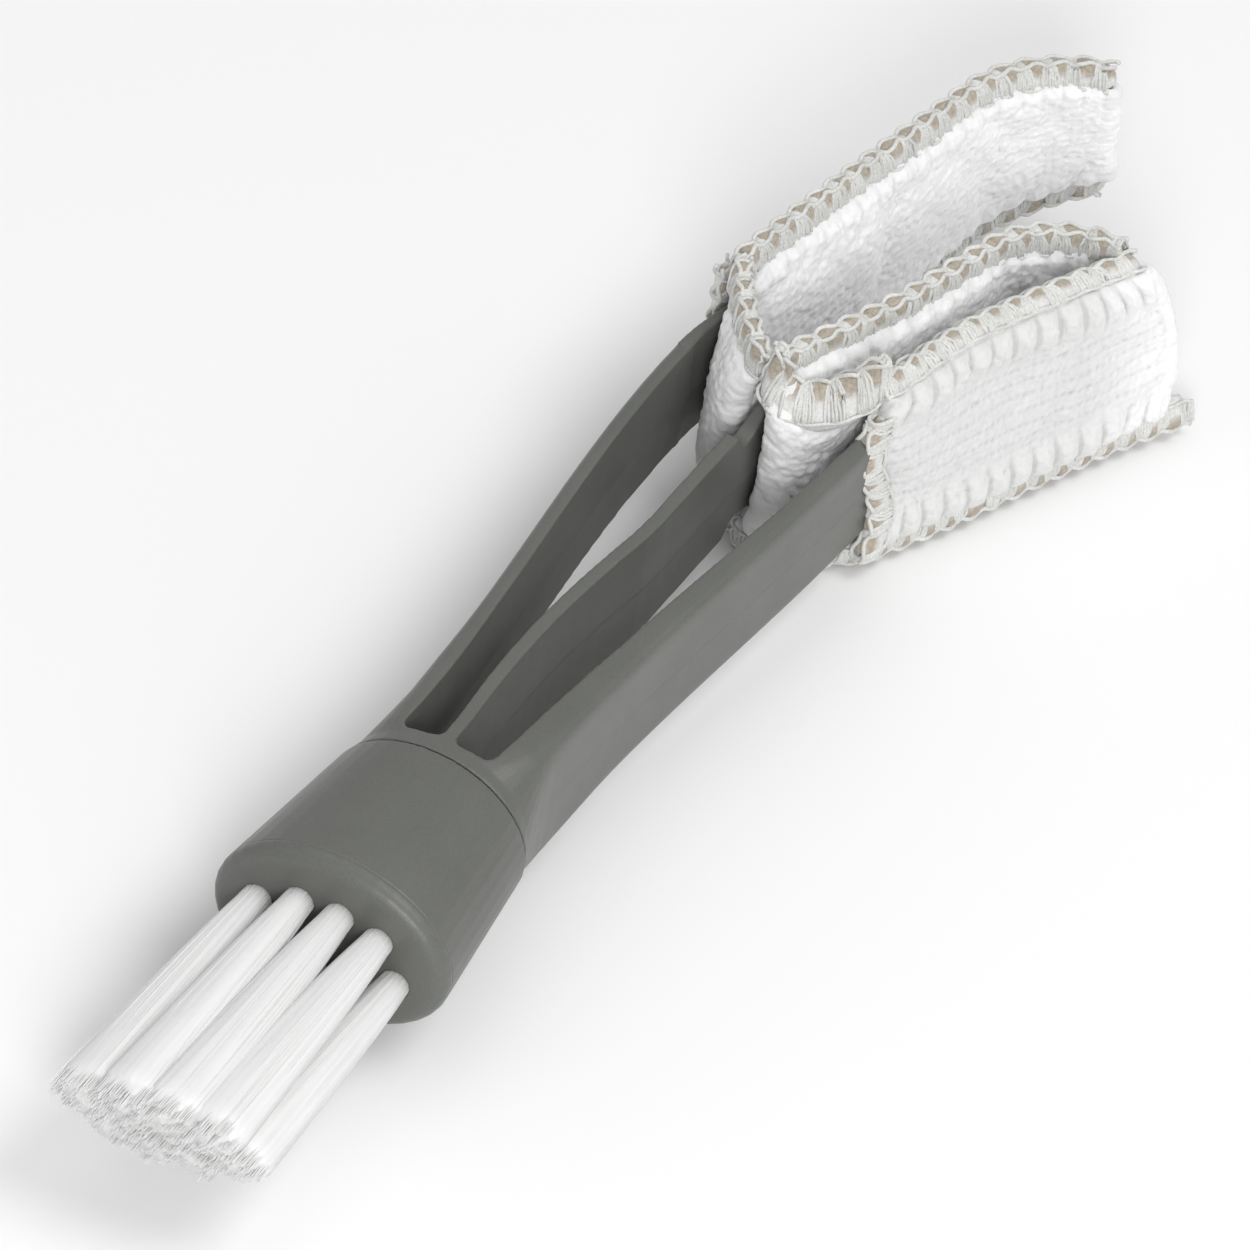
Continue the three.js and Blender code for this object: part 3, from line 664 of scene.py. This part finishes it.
def cloth_strip():
    """The strip of loop-pile cloth as one closed mesh, and its length."""
    points, along, column, level = strip_surface(CLOTH_STEP)
    out = resample(*settled(), along, level)
    points = points + surface_normals(points) * out[..., None]
    normal = surface_normals(points)
    columns, rows = points.shape[:2]
    s, z = np.meshgrid(along, CLOTH_BOTTOM + (CLOTH_TOP - CLOTH_BOTTOM) * (level + 1) / 2, indexing="ij")
    from_edge = np.minimum(z - CLOTH_BOTTOM, CLOTH_TOP - z)
    front = column["flat"][:, None]
    flat = front * smooth((from_edge - ROW_FROM_EDGE) / ROW_BLEND)
    between = np.abs(np.sin(math.pi * column["run"] / STITCH))[:, None]
    near = np.exp(-(((from_edge - by_panel(PUFF_PLACE, front)) / by_panel(PUFF_REACH, front)) ** 2))
    puff = by_panel(PUFF_HEIGHT, front) * np.sqrt(between ** 2 + PUFF_SOFTNESS) * near
    calm = LOOP_AT_EDGE + (1 - LOOP_AT_EDGE) * smooth(from_edge / LOOP_EDGE_REACH)
    ticks = 0.5 + 0.5 * np.cos(2 * math.pi * s / TICK_PITCH)
    knit = np.cos(math.pi * z / ROW_PITCH) ** ROW_SHARPNESS * flat * ticks
    # Painted shade in the creases between puffs, over the front panel up to its tip and in the knit-row grooves
    crease = by_panel(CREASE_SHADE, front) * (1 - smooth(between / CREASE_REACH)) * near
    before_tip = 1 - near_tip("right", column["run"], TIP_ROUND)[:, None]
    shade = crease + FRONT_SHADE * front * before_tip + ROW_SHADE * knit
    sheets, pile_shades = [], []
    for way, seed, outside in ((1, 1, 0), (-1, 2, 1)):
        pile = bumps(s + LOOP_SWAY * np.sin(z), z, LOOP_PITCH, seed) * calm
        loops = LOOP_HEIGHT * (1 - LOOP_LOSS * flat) * pile
        height = loops - ROW_HEIGHT * knit + outside * puff + WAVE_HEIGHT * waves(s, z, seed)
        sheets.append((points + way * normal * (CLOTH_HALF + height)[..., None]).reshape(-1, 3))
        # Colour value of the pile, for painted shade between the loops and over the flat front panel
        pile_shades.append((pile * (1 - FRONT_PILE_SHADE * flat)).ravel())
    count = columns * rows
    face = grid_faces(columns, rows)
    rim = np.concatenate([
        np.arange(rows), np.arange(1, columns) * rows + rows - 1,
        ((columns - 1) * rows + np.arange(rows - 2, -1, -1)), np.arange(columns - 2, 0, -1) * rows,
    ])
    after = np.roll(rim, -1)
    border = np.stack([rim, after, after + count, rim + count], axis=1)
    faces = np.concatenate([face, face[:, ::-1] + count, border[:, ::-1]])
    obj = mesh_object("cover_cloth", from_cover(np.concatenate(sheets)), faces)
    add_values(obj, "pile", np.concatenate(pile_shades))
    # Painted shade, on the outer sheet only
    add_values(obj, "shade", np.concatenate([np.zeros(count), shade.ravel()]))
    return obj, along[-1]


# Overlock stitching


class Seam:
    """An edge that is sewn over: its line, the ways out of the cloth and across it, its height and half thickness."""

    def __init__(self, line, out, across, height, half=EDGE_HALF, past=EDGE_PAST):
        self.line = np.asarray(line, float)
        self.out = np.broadcast_to(np.asarray(out, float), self.line.shape)
        self.across = np.broadcast_to(np.asarray(across, float), self.line.shape)
        self.height = height
        self.half = half
        self.past = past
        self.at = travelled(self.line)
        self.length = self.at[-1]

    def pick(self, table, s):
        """Values of a table with a row for each point of the line, at distances along it."""
        return np.stack([np.interp(s, self.at, values) for values in table.T], axis=-1)

    def place(self, s, o, n):
        """Points at a distance along the seam, a height out of the cloth and an offset across it."""
        s, o, n = np.broadcast_arrays(*(np.asarray(x, float) for x in (s, o, n)))
        first = (self.line[1] - self.line[0]) / self.at[1]
        last = (self.line[-1] - self.line[-2]) / (self.at[-1] - self.at[-2])
        before = np.clip(s, None, 0)[..., None] * first
        after = np.clip(s - self.length, 0, None)[..., None] * last
        foot = self.pick(self.line, s) + before + after
        return foot + o[..., None] * self.pick(self.out, s) + n[..., None] * self.pick(self.across, s)

    def crest(self, s):
        """Height of the pinched outer edge."""
        return self.height - EDGE_PINCH + EDGE_SCALLOP * scallop(s)

    def thick(self, s):
        """Half thickness, which swells between the stitches."""
        return self.half * (EDGE_THIN + EDGE_SWELL * scallop(s))

    def steps(self, step):
        """Distances along the whole edge, with what runs past its ends."""
        return np.arange(-self.past, self.length + self.past, step)


def scallop(s):
    return np.abs(np.sin(math.pi * np.asarray(s) / STITCH)) ** EDGE_SCALLOP_POWER


def tube(points, radius):
    """Skin of a thread or strand along points, with its radius at each point."""
    points = np.asarray(points, float)
    radius = np.broadcast_to(radius, len(points))
    tangent = np.gradient(points, axis=0)
    tangent /= np.maximum(np.linalg.norm(tangent, axis=1, keepdims=True), 1e-9)
    side = np.cross(tangent, TUBE_ASIDE)
    side /= np.maximum(np.linalg.norm(side, axis=1, keepdims=True), 1e-9)
    other = np.cross(tangent, side)
    angle = np.arange(TUBE_SIDES) / TUBE_SIDES * 2 * math.pi
    ring = np.cos(angle)[:, None] * side[:, None, :] + np.sin(angle)[:, None] * other[:, None, :]
    skin = points[:, None, :] + radius[:, None, None] * ring
    return skin.reshape(-1, 3), points[[0, -1]], len(points)


def tube_mesh(tubes, sides=TUBE_SIDES):
    """One list of points and one of quads for many tubes; an end is closed with quads that share its middle point."""
    points, faces, start = [], [], 0
    for skin, caps, rings in tubes:
        points.extend([skin, caps])
        faces.append(grid_faces(rings, sides, start, wrap=True))
        first, last = start + len(skin), start + len(skin) + 1
        end = start + (rings - 1) * sides
        for k in range(0, sides, 2):
            a, b, c = k, k + 1, (k + 2) % sides
            faces.append([[start + c, start + b, start + a, first], [end + a, end + b, end + c, last]])
        start += len(skin) + 2
    return np.concatenate(points), np.concatenate([np.asarray(f, np.int32) for f in faces])


def seam_core(seam):
    """Raw edge of the cloth inside the stitching: its points, its faces and how far each point is cut backing."""
    s = seam.steps(EDGE_STEP)
    angle = np.linspace(0, 2 * math.pi, EDGE_SIDES, endpoint=False)
    tall = seam.crest(s)[:, None]
    from_end = np.minimum(s - s[0], s[-1] - s) + EDGE_END_LEAST
    ends = np.sqrt(np.clip(from_end / EDGE_END, EDGE_END_LEAST, 1))[:, None]
    height = (tall - EDGE_SINK) / 2 + (tall + EDGE_SINK) / 2 * bowed(np.sin(angle), EDGE_POWER) * ends
    offset = seam.thick(s)[:, None] * bowed(np.cos(angle), EDGE_POWER) * ends
    fuzz = bumps(*np.broadcast_arrays(s[:, None], angle), FUZZ_PITCH, FUZZ_SEED)
    height = height * (1 + FUZZ_UP * fuzz)
    points = seam.place(s[:, None], height, offset * (1 + FUZZ_OUT * fuzz))
    skin = (points.reshape(-1, 3), points[[0, -1]].mean(axis=1), len(s))
    raw = smooth((height / tall - RAW_FROM) / RAW_BLEND).ravel()
    return *tube_mesh([skin], EDGE_SIDES), np.append(raw, [1, 1])


def drawn(rng, least, extra):
    """A random size, from its least up to that and the extra."""
    return least + extra * rng.random()


def seam_threads(seam, seed):
    """Wrapped legs, edge chains and needle lines of the stitching."""
    rng = np.random.default_rng(seed)
    tubes = []
    turn = np.linspace(-LEG_PAST, math.pi + LEG_PAST, LEG_POINTS)
    around, up = np.cos(turn), np.sin(turn)
    for middle in np.arange(0, seam.length + LEG_LEEWAY, STITCH):
        middle = middle + LEG_STRAY * rng.standard_normal()
        skew = drawn(rng, *LEG_SLANT)
        spread = drawn(rng, *LEG_SPREAD)
        for strand in LEG_STRANDS:
            fan = spread * strand * (LEG_FAN + LEG_FOOT_FAN * around ** 2)
            fan = fan + LEG_JITTER * rng.standard_normal(len(turn))
            s = middle + fan + skew * (turn / math.pi - 0.5)
            s = np.clip(s, -seam.past, seam.length + seam.past)
            n = (seam.thick(s) + LEG_OVER) * bowed(around, LEG_POWER) + LEG_JITTER * rng.standard_normal()
            o = np.where(up > 0, (seam.crest(s) + LEG_OVER) * bowed(up, LEG_POWER), LEG_FOOT * up)
            tubes.append(tube(seam.place(s, o, n), THREAD_RADIUS * drawn(rng, *LEG_THICK)))
    s = seam.steps(CHAIN_STEP)
    phase = 2 * math.pi * s / STITCH
    for side in (1, -1):
        o = seam.crest(s) + CHAIN_OVER + CHAIN_RIPPLE * np.cos(CHAIN_RIPPLE_RATE * s)
        n = side * (CHAIN_PLACE * seam.half + CHAIN_SWING * np.sin(phase))
        tubes.append(tube(seam.place(s, o, n), CHAIN_THICK * THREAD_RADIUS))
    for side in (1, -1):
        o = NEEDLE_HEIGHT + NEEDLE_SWING * np.sin(phase)
        n = side * (NEEDLE_PLACE * seam.half + NEEDLE_OUT - NEEDLE_DEPTH * np.cos(phase))
        tubes.append(tube(seam.place(s, o, n), THREAD_RADIUS))
    return tube_mesh(tubes)


def seam_piece(node, seam, seed):
    """Overlocked edge that stands for a node: the raw cloth edge and the thread over it."""
    core_points, core_faces, raw = seam_core(seam)
    thread_points, thread_faces = seam_threads(seam, seed)
    points = from_cover(np.concatenate([core_points, thread_points]))
    faces = np.concatenate([core_faces, thread_faces + len(core_points)])
    obj = mesh_object(f"{node}_stitched", points, faces)
    add_values(obj, "raw", np.append(raw, np.zeros(len(thread_points))))
    for look in ("edge", "thread"):
        obj.data.materials.append(materials[look])
    index = np.zeros(len(faces), np.int32)
    index[len(core_faces):] = 1
    obj.data.polygons.foreach_set("material_index", index)
    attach(obj, "cover")
    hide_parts(node)
    return obj


def leaned(across, edge, tilt):
    """Ways out and across of an upper or lower edge of the cloth that tilts to its left, in degrees."""
    up = np.array([0, 0, float(EDGES[edge])])
    lean = np.radians(np.broadcast_to(tilt, len(across)))[:, None]
    return np.cos(lean) * up + np.sin(lean) * across, np.cos(lean) * across - np.sin(lean) * up


def pocket_seam(name, edge):
    sewn = POCKETS[name][edge]
    run = np.linspace(0, pocket_length(name) + SEAM_PAST_TIP + sewn["tail"], POCKET_SEAM_POINTS)
    u, v, heading = pocket_line(name, run)
    move = edge_move(name, run, edge)
    z = CLOTH_TOP if edge == "top" else CLOTH_BOTTOM + edge_rise(name, run)
    line = np.broadcast_arrays(u + move[0], v + move[1], z - EDGES[edge] * sewn["lift"])
    across = np.stack([*ways(heading)[1], np.zeros_like(run)], axis=1)
    out, across = leaned(across, edge, sewn["tilt"] * (1 + smooth(run / TILT_REACH)) / 2)
    return Seam(np.stack(line, axis=1), out, across, sewn["height"])


def web_seam(name, edge):
    line = web_edge(name, WEB_EDGE_POINTS)
    tangent = np.gradient(line, axis=0)
    tangent /= np.linalg.norm(tangent, axis=1, keepdims=True)
    share = np.linspace(0, 1, len(line))
    line[:, 1] += web_shift(name, edge, share)
    across = np.column_stack([-tangent[:, 1], tangent[:, 0], np.zeros(len(line))])
    middle = np.sin(math.pi * share)
    if edge == "top":
        tilt, height = SIDES[name] * WEB_LEAN[name] * middle, WEB_HEIGHT[name]
        z = CLOTH_TOP - WEB_DIP[name] * middle
    else:
        tilt, height = 0, POCKETS["middle"]["bottom"]["height"]
        z = np.full(len(line), CLOTH_BOTTOM)
    out, across = leaned(across, edge, tilt)
    return Seam(np.column_stack([line, z]), out, across, height, past=WEB_EDGE_PAST)


def hem_seam(name):
    side = SIDES[name]
    mouth_u, mouth_v = POCKETS[name]["mouth"]
    level = np.linspace(-1, 1, HEM_POINTS)
    up, down = edge_shares(level)
    v = mouth_v + side * panel_offset(name, side, 0.0)
    v = v + POCKETS[name]["top"]["shift"][0] * up + POCKETS[name]["bottom"]["shift"][0] * down
    u = mouth_u + HEM_SHIFT[name] + HEM_SWAY[name] * np.sin(math.pi * (level + 1))
    z = CLOTH_BOTTOM + (HEM_TOP[name] - CLOTH_BOTTOM) * (level + 1) / 2
    return Seam(np.stack([u, v, z], axis=1), (-1, 0, 0), (0, 1, 0), HEM_HEIGHT[name], HEM_HALF[name])


# Bristles


def tuft_spots():
    """Places of the eight tuft holes round the oval ring, in the brush face."""
    spots = []
    for i, step in enumerate(TUFT_STEPS):
        side = 1 if i < len(TUFT_STEPS) // 2 else -1
        y = step * TUFT_PITCH - side * TUFT_ROW_SHIFT
        spots.append((y, side * math.sqrt(1 - (2 * y / TUFT_RING_WIDTH) ** 2) * TUFT_RING_HEIGHT / 2))
    return np.array(spots)


def tuft_radius(outside):
    """Radii of a tuft across and up, at shares of the way from its root to its tip."""
    return TUFT_ROOT_RADIUS + (np.array(TUFT_TIP_RADIUS) - TUFT_ROOT_RADIUS) * outside[:, None] ** TUFT_WIDENING


def tuft_middle(base, outside):
    """Places of a tuft's middle line, which leans in towards the other tufts."""
    far = outside[:, None]
    return base * (1 + far * (np.array(TUFT_SPLAY) - 1)) + far * np.array([TUFT_LEAN, 0])


def tuft_bundle(base, rng):
    """Strands in the middle of a tuft, taken together as one ribbed bundle."""
    end = BUNDLE_LENGTH * BRISTLE_LENGTH + BRISTLE_SLOPE * base[0] + BRISTLE_SHEAR * base[1]
    x = np.linspace(BRISTLE_SINK, -end, BUNDLE_RINGS)
    outside = np.clip(-x / BRISTLE_LENGTH, 0, None)
    turn = np.arange(BUNDLE_RIBS) / BUNDLE_RIBS * 2 * math.pi
    rough = BUNDLE_ROUGH * np.linspace(BUNDLE_ROOT_ROUGH, 1, len(x))[:, None]
    ribs = 1 + rough * rng.standard_normal(BUNDLE_RIBS)
    way = np.stack([np.cos(turn), np.sin(turn)], axis=1) * ribs[..., None]
    size = BUNDLE_SIZE * tuft_radius(outside)
    size[-1] *= BUNDLE_END
    middle = tuft_middle(base, outside)
    side = middle[:, None, :] + size[:, None, :] * way
    skin = np.concatenate([np.broadcast_to(x[:, None, None], (len(x), BUNDLE_RIBS, 1)), side], axis=2)
    return skin.reshape(-1, 3), np.column_stack([x, middle])[[0, -1]], len(x)


def tuft_tubes(base, rng):
    """Strands round a tuft, drawn together in small clumps towards their ragged ends."""
    clumps = STRANDS_PER_TUFT // STRANDS_PER_CLUMP + 1
    clump_far, clump_turn = np.sqrt(rng.random(clumps)), rng.random(clumps) * 2 * math.pi
    clump = clump_far[:, None] * np.column_stack([np.cos(clump_turn), np.sin(clump_turn)])
    clump_long = BRISTLE_RAGGED * (rng.random(clumps) - 0.5)
    golden = math.pi * (3 - math.sqrt(5))
    travel = np.linspace(0, 1, BRISTLE_POINTS)
    radius = np.full(BRISTLE_POINTS, BRISTLE_RADIUS)
    radius[-1] *= BRISTLE_END
    tubes = []
    for i in range(STRANDS_PER_TUFT):
        far = math.sqrt(STRANDS_FROM + (1 - STRANDS_FROM) * (i + 0.5) / STRANDS_PER_TUFT)
        way = far * np.array([math.cos(i * golden), math.sin(i * golden)])
        own = np.linalg.norm(clump - way, axis=1).argmin()
        gather = CLUMP_PULL * (clump[own] - way) * TUFT_TIP_RADIUS + CLUMP_STRAY * rng.standard_normal(2)
        sheared = BRISTLE_SLOPE * base[0] + BRISTLE_SHEAR * (base[1] + TUFT_TIP_RADIUS[1] * way[1])
        uneven = clump_long[own] + BRISTLE_UNEVEN * rng.standard_normal() - BRISTLE_ROUNDING * far
        x = BRISTLE_SINK - (BRISTLE_SINK + BRISTLE_LENGTH + sheared + uneven) * travel
        outside = np.clip(-x / BRISTLE_LENGTH, 0, None)
        bow = BRISTLE_BOW * rng.standard_normal(2)
        side = (
            tuft_middle(base, outside) + (tuft_radius(outside) - BRISTLE_RADIUS) * way
            + np.outer(smooth((outside - CLUMP_FROM) / (1 - CLUMP_FROM)), gather)
            + np.outer(outside * (1 - outside), bow)
        )
        tubes.append(tube(np.column_stack([x, side]), radius))
    return tubes


def bristles(node, numbers):
    spots = tuft_spots()
    tubes = []
    for number in numbers:
        tubes.extend(tuft_tubes(spots[number], np.random.default_rng(TUFT_SEED + number)))
    bundles = [tuft_bundle(spots[number], np.random.default_rng(BUNDLE_SEED + number)) for number in numbers]
    points, faces = tube_mesh(tubes)
    bundle_points, bundle_faces = tube_mesh(bundles, BUNDLE_RIBS)
    faces = np.concatenate([faces, bundle_faces + len(points)])
    points = np.concatenate([points, bundle_points])
    obj = mesh_object(f"{node}_bristles", from_handle(points), faces)
    obj.data.materials.append(materials["nylon"])
    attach(obj, "handle")
    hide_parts(node)


# Materials


class Shader:
    """A Principled material, with short ways to add and link its nodes."""

    def __init__(self, name, **values):
        self.material = bpy.data.materials.new(name)
        self.material.use_nodes = True
        self.nodes = self.material.node_tree.nodes
        self.surface = self.nodes["Principled BSDF"]
        for key, value in values.items():
            self.link(value, key.replace("_", " "))
        self.coordinates = self.add("ShaderNodeTexCoord").outputs["Object"]

    def put(self, socket, value):
        """Link a node's output to an input, or set the input to a plain value."""
        if isinstance(value, bpy.types.NodeSocket):
            self.material.node_tree.links.new(value, socket)
        else:
            socket.default_value = value

    def add(self, kind, inputs=None, **settings):
        node = self.nodes.new(kind)
        for key, value in settings.items():
            setattr(node, key, value)
        for key, value in (inputs or {}).items():
            self.put(node.inputs[key], value)
        return node

    def link(self, value, name):
        self.put(self.surface.inputs[name], value)

    def noise(self, scale, detail=3.0, roughness=0.55):
        inputs = {"Vector": self.coordinates, "Scale": scale, "Detail": detail, "Roughness": roughness}
        return self.add("ShaderNodeTexNoise", inputs).outputs["Fac"]

    def ramp(self, value, low, high, start=0.3, end=0.7):
        node = self.add("ShaderNodeValToRGB", {"Fac": value})
        for element, place, colour in zip(node.color_ramp.elements, (start, end), (low, high)):
            element.position = place
            element.color = (*colour, 1)
        return node.outputs["Color"]

    def attribute(self, name):
        return self.add("ShaderNodeAttribute", attribute_name=name).outputs["Fac"]

    def mix(self, factor, first, second, blend="MIX"):
        """A blend of two colours, by the colour sockets of a mix node."""
        node = self.add("ShaderNodeMix", {0: factor, 6: first, 7: second}, data_type="RGBA", blend_type=blend)
        return node.outputs[2]

    def math(self, operation, first, second=0.0):
        return self.add("ShaderNodeMath", {0: first, 1: second}, operation=operation).outputs[0]

    def bump(self, height, distance, strength=1.0, normal=None):
        inputs = {"Height": height, "Distance": distance, "Strength": strength}
        if normal is not None:
            inputs["Normal"] = normal
        return self.add("ShaderNodeBump", inputs).outputs["Normal"]


def plastic_material(name, axis, place, half):
    """Satin grey moulding: fine texture, faint flow clouding and one thin line where the mould's halves met."""
    look = Shader(name, Specular_IOR_Level=0.42)
    cloud = look.noise(90, 4)
    grain = look.noise(5200, 2)
    colour = look.ramp(cloud, (0.104, 0.108, 0.098), (0.127, 0.131, 0.119), 0.25, 0.75)
    look.link(look.mix(0.25, colour, look.ramp(grain, (0.084, 0.088, 0.081), (0.158, 0.163, 0.152))), "Base Color")
    rough = look.add("ShaderNodeMapRange", {"Value": look.noise(240, 3), "To Min": 0.32, "To Max": 0.44})
    look.link(rough.outputs["Result"], "Roughness")
    position = look.add("ShaderNodeSeparateXYZ", {"Vector": look.coordinates}).outputs[axis]
    from_line = look.math("ABSOLUTE", look.math("SUBTRACT", position, place))
    crease = look.bump(look.math("MINIMUM", look.math("DIVIDE", from_line, half), 1.0), half, 0.35)
    look.link(look.bump(grain, 0.00005, 0.45, crease), "Normal")
    return look.material


def nylon_material():
    """White filament that lets some light through, with streaks along the strands."""
    look = Shader(
        "white_nylon", Roughness=0.34, Specular_IOR_Level=0.4, Subsurface_Weight=0.15, Subsurface_Scale=0.0003,
        Subsurface_Radius=(1.0, 1.0, 1.0),
    )
    stretched = look.add("ShaderNodeMapping", {"Vector": look.coordinates, "Scale": (60, 2600, 2600)})
    streak = look.add("ShaderNodeTexNoise", {"Vector": stretched.outputs["Vector"], "Scale": 1.0, "Detail": 2.0})
    look.link(look.ramp(streak.outputs["Fac"], (0.71, 0.715, 0.71), (0.78, 0.78, 0.775)), "Base Color")
    look.link(look.bump(streak.outputs["Fac"], 0.00002, 0.3), "Normal")
    return look.material


def cloth_material():
    """White microfibre: loops lighter than the painted shade of the ground between them, more painted shade from the
    strip's values, soft sheen and a fuzz of fine fibres.
    """
    look = Shader(
        "white_microfibre", Roughness=0.92, Specular_IOR_Level=0.12, Sheen_Weight=0.35, Sheen_Roughness=0.5,
        Subsurface_Weight=0.15, Subsurface_Scale=0.0008, Subsurface_Radius=(1.0, 1.0, 1.0),
    )
    pile = look.attribute("pile")
    # Painted shade: low pile darkens the ground between the loops
    loop_shade_colour = look.ramp(pile, (0.72, 0.725, 0.73), (0.86, 0.86, 0.86), 0.0, 0.42)
    fibre = look.noise(3800, 4, 0.65)
    colour = look.mix(0.3, loop_shade_colour, look.ramp(fibre, (0.74, 0.745, 0.75), (0.90, 0.90, 0.90)))
    # Painted shade: the shade values darken the colour down to this grey
    painted_shade = look.ramp(look.attribute("shade"), (1, 1, 1), (0.64, 0.64, 0.63), 0.0, 1.0)
    look.link(look.mix(1.0, colour, painted_shade, "MULTIPLY"), "Base Color")
    loops = look.add("ShaderNodeTexVoronoi", {"Vector": look.coordinates, "Scale": 1350}).outputs["Distance"]
    fuzz = look.bump(fibre, 0.00014, 0.4)
    look.link(look.bump(look.math("SUBTRACT", 1.0, loops), 0.0004, 0.28, fuzz), "Normal")
    return look.material


def edge_material():
    """Raw cloth edge under the stitching: tan backing where it is cut, white pile towards the panel."""
    look = Shader("raw_cloth_edge", Roughness=0.95, Specular_IOR_Level=0.1, Sheen_Weight=0.25, Sheen_Roughness=0.5)
    fibre = look.noise(2600, 4, 0.65)
    tan = look.ramp(fibre, (0.30, 0.262, 0.208), (0.50, 0.448, 0.372))
    white = look.ramp(fibre, (0.56, 0.56, 0.55), (0.76, 0.76, 0.75))
    look.link(look.mix(look.attribute("raw"), white, tan), "Base Color")
    look.link(look.bump(fibre, 0.0002, 0.6), "Normal")
    return look.material


def thread_material():
    """Off-white textured sewing thread, with the lay of its fine filaments."""
    look = Shader("overlock_thread", Roughness=0.72, Specular_IOR_Level=0.25, Sheen_Weight=0.3, Sheen_Roughness=0.4)
    fibre = look.noise(4200, 3)
    shade = look.noise(380, 2)
    colour = look.ramp(fibre, (0.52, 0.52, 0.505), (0.76, 0.76, 0.74))
    look.link(look.mix(0.3, colour, look.ramp(shade, (0.44, 0.44, 0.42), (0.76, 0.76, 0.74))), "Base Color")
    look.link(look.bump(fibre, 0.00008, 0.6), "Normal")
    return look.material


def floor_material():
    look = Shader("pale_floor", Roughness=0.9, Specular_IOR_Level=0.1)
    look.link(look.ramp(look.noise(4, 2), (0.87, 0.87, 0.87), (0.89, 0.89, 0.89)), "Base Color")
    return look.material


materials = {
    "fork_plastic": plastic_material("satin_grey_fork", "Z", float(FACE[2]), FORK_LINE_HALF * MM),
    "head_plastic": plastic_material("satin_grey_head", "X", float(FACE[0]) + RIM_LINE * MM, RIM_LINE_HALF * MM),
    "nylon": nylon_material(),
    "cloth": cloth_material(),
    "edge": edge_material(),
    "thread": thread_material(),
    "floor": floor_material(),
}

# Pieces


def moulded(node, look, voxel, rounds):
    """A carried-over node with rounded edges."""
    obj = frame["nodes"][node]
    obj.data.materials.clear()
    obj.data.materials.append(materials[look])
    skin = obj.modifiers.new("skin", "REMESH")
    skin.mode = "VOXEL"
    skin.voxel_size = voxel * MM
    skin.use_smooth_shade = True
    even = obj.modifiers.new("round_edges", "SMOOTH")
    even.factor = 0.5
    even.iterations = rounds


for node, skin in MOULDINGS.items():
    moulded(node, *skin)

for node, numbers in TUFTS.items():
    bristles(node, numbers)

for count, name in enumerate(("left", "middle", "right")):
    for edge, seed in OVERLOCK_SEEDS.items():
        seam_piece(f"overlock_{edge}_{name}", pocket_seam(name, edge), seed + count)
for count, name in enumerate(("left", "right")):
    for edge, seed in WEB_EDGE_SEEDS.items():
        seam_piece(f"web_edge_{edge}_{name}", web_seam(name, edge), seed + count)
    seam_piece(f"mouth_hem_{name}", hem_seam(name), HEM_SEED + count)

cloth, strip_length = cloth_strip()
cloth.data.materials.append(materials["cloth"])
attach(cloth, "cover")
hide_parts("pocket_left", "pocket_middle", "pocket_right", "web_left", "web_right")

# Stage: floor, lights and camera


def make_floor():
    corners = [(x * FLOOR_HALF, y * FLOOR_HALF, FLOOR_HEIGHT) for x, y in ((-1, -1), (1, -1), (1, 1), (-1, 1))]
    floor = mesh_object("floor", np.array(corners), [[0, 1, 2, 3]])
    floor.data.materials.append(materials["floor"])


def make_light(name, place, size, power):
    light = bpy.data.lights.new(name, "AREA")
    light.shape = "DISK"
    light.size = size
    light.energy = power
    obj = bpy.data.objects.new(name, light)
    bpy.context.scene.collection.objects.link(obj)
    obj.location = place
    obj.rotation_euler = (Vector(LIGHT_TARGET) - Vector(place)).to_track_quat("-Z", "Y").to_euler()


def make_camera():
    sin_a, cos_a = math.sin(CAMERA_AZIMUTH), math.cos(CAMERA_AZIMUTH)
    sin_e, cos_e = math.sin(CAMERA_ELEVATION), math.cos(CAMERA_ELEVATION)
    back = Vector((sin_a * cos_e, -cos_a * cos_e, sin_e))
    level_right = Vector((cos_a, sin_a, 0))
    level_up = back.cross(level_right)
    right = level_right * math.cos(CAMERA_ROLL) + level_up * math.sin(CAMERA_ROLL)
    up = level_up * math.cos(CAMERA_ROLL) - level_right * math.sin(CAMERA_ROLL)
    face = Vector(FACE)
    eye = face + back * CAMERA_DISTANCE * MM
    aim = face + (right * CAMERA_AIM[0] + up * CAMERA_AIM[1]) * MM
    toward = (eye - aim).normalized()
    across = up.cross(toward).normalized()
    turn = Matrix((across, toward.cross(across), toward)).transposed().to_4x4()
    data = bpy.data.cameras.new("camera")
    data.lens = CAMERA_LENS
    data.sensor_width = CAMERA_SENSOR
    data.clip_start, data.clip_end = CAMERA_CLIP
    camera = bpy.data.objects.new("camera", data)
    camera.matrix_world = Matrix.Translation(eye) @ turn
    bpy.context.scene.collection.objects.link(camera)
    bpy.context.scene.camera = camera


def make_world():
    world = bpy.data.worlds.new("studio")
    world.use_nodes = True
    background = world.node_tree.nodes["Background"].inputs
    background["Color"].default_value = (1, 1, 1, 1)
    background["Strength"].default_value = WORLD_STRENGTH
    bpy.context.scene.world = world


make_floor()
for name, light in LIGHTS.items():
    make_light(name, *light)
make_camera()
make_world()
bpy.context.scene.view_settings.view_transform = "Standard"
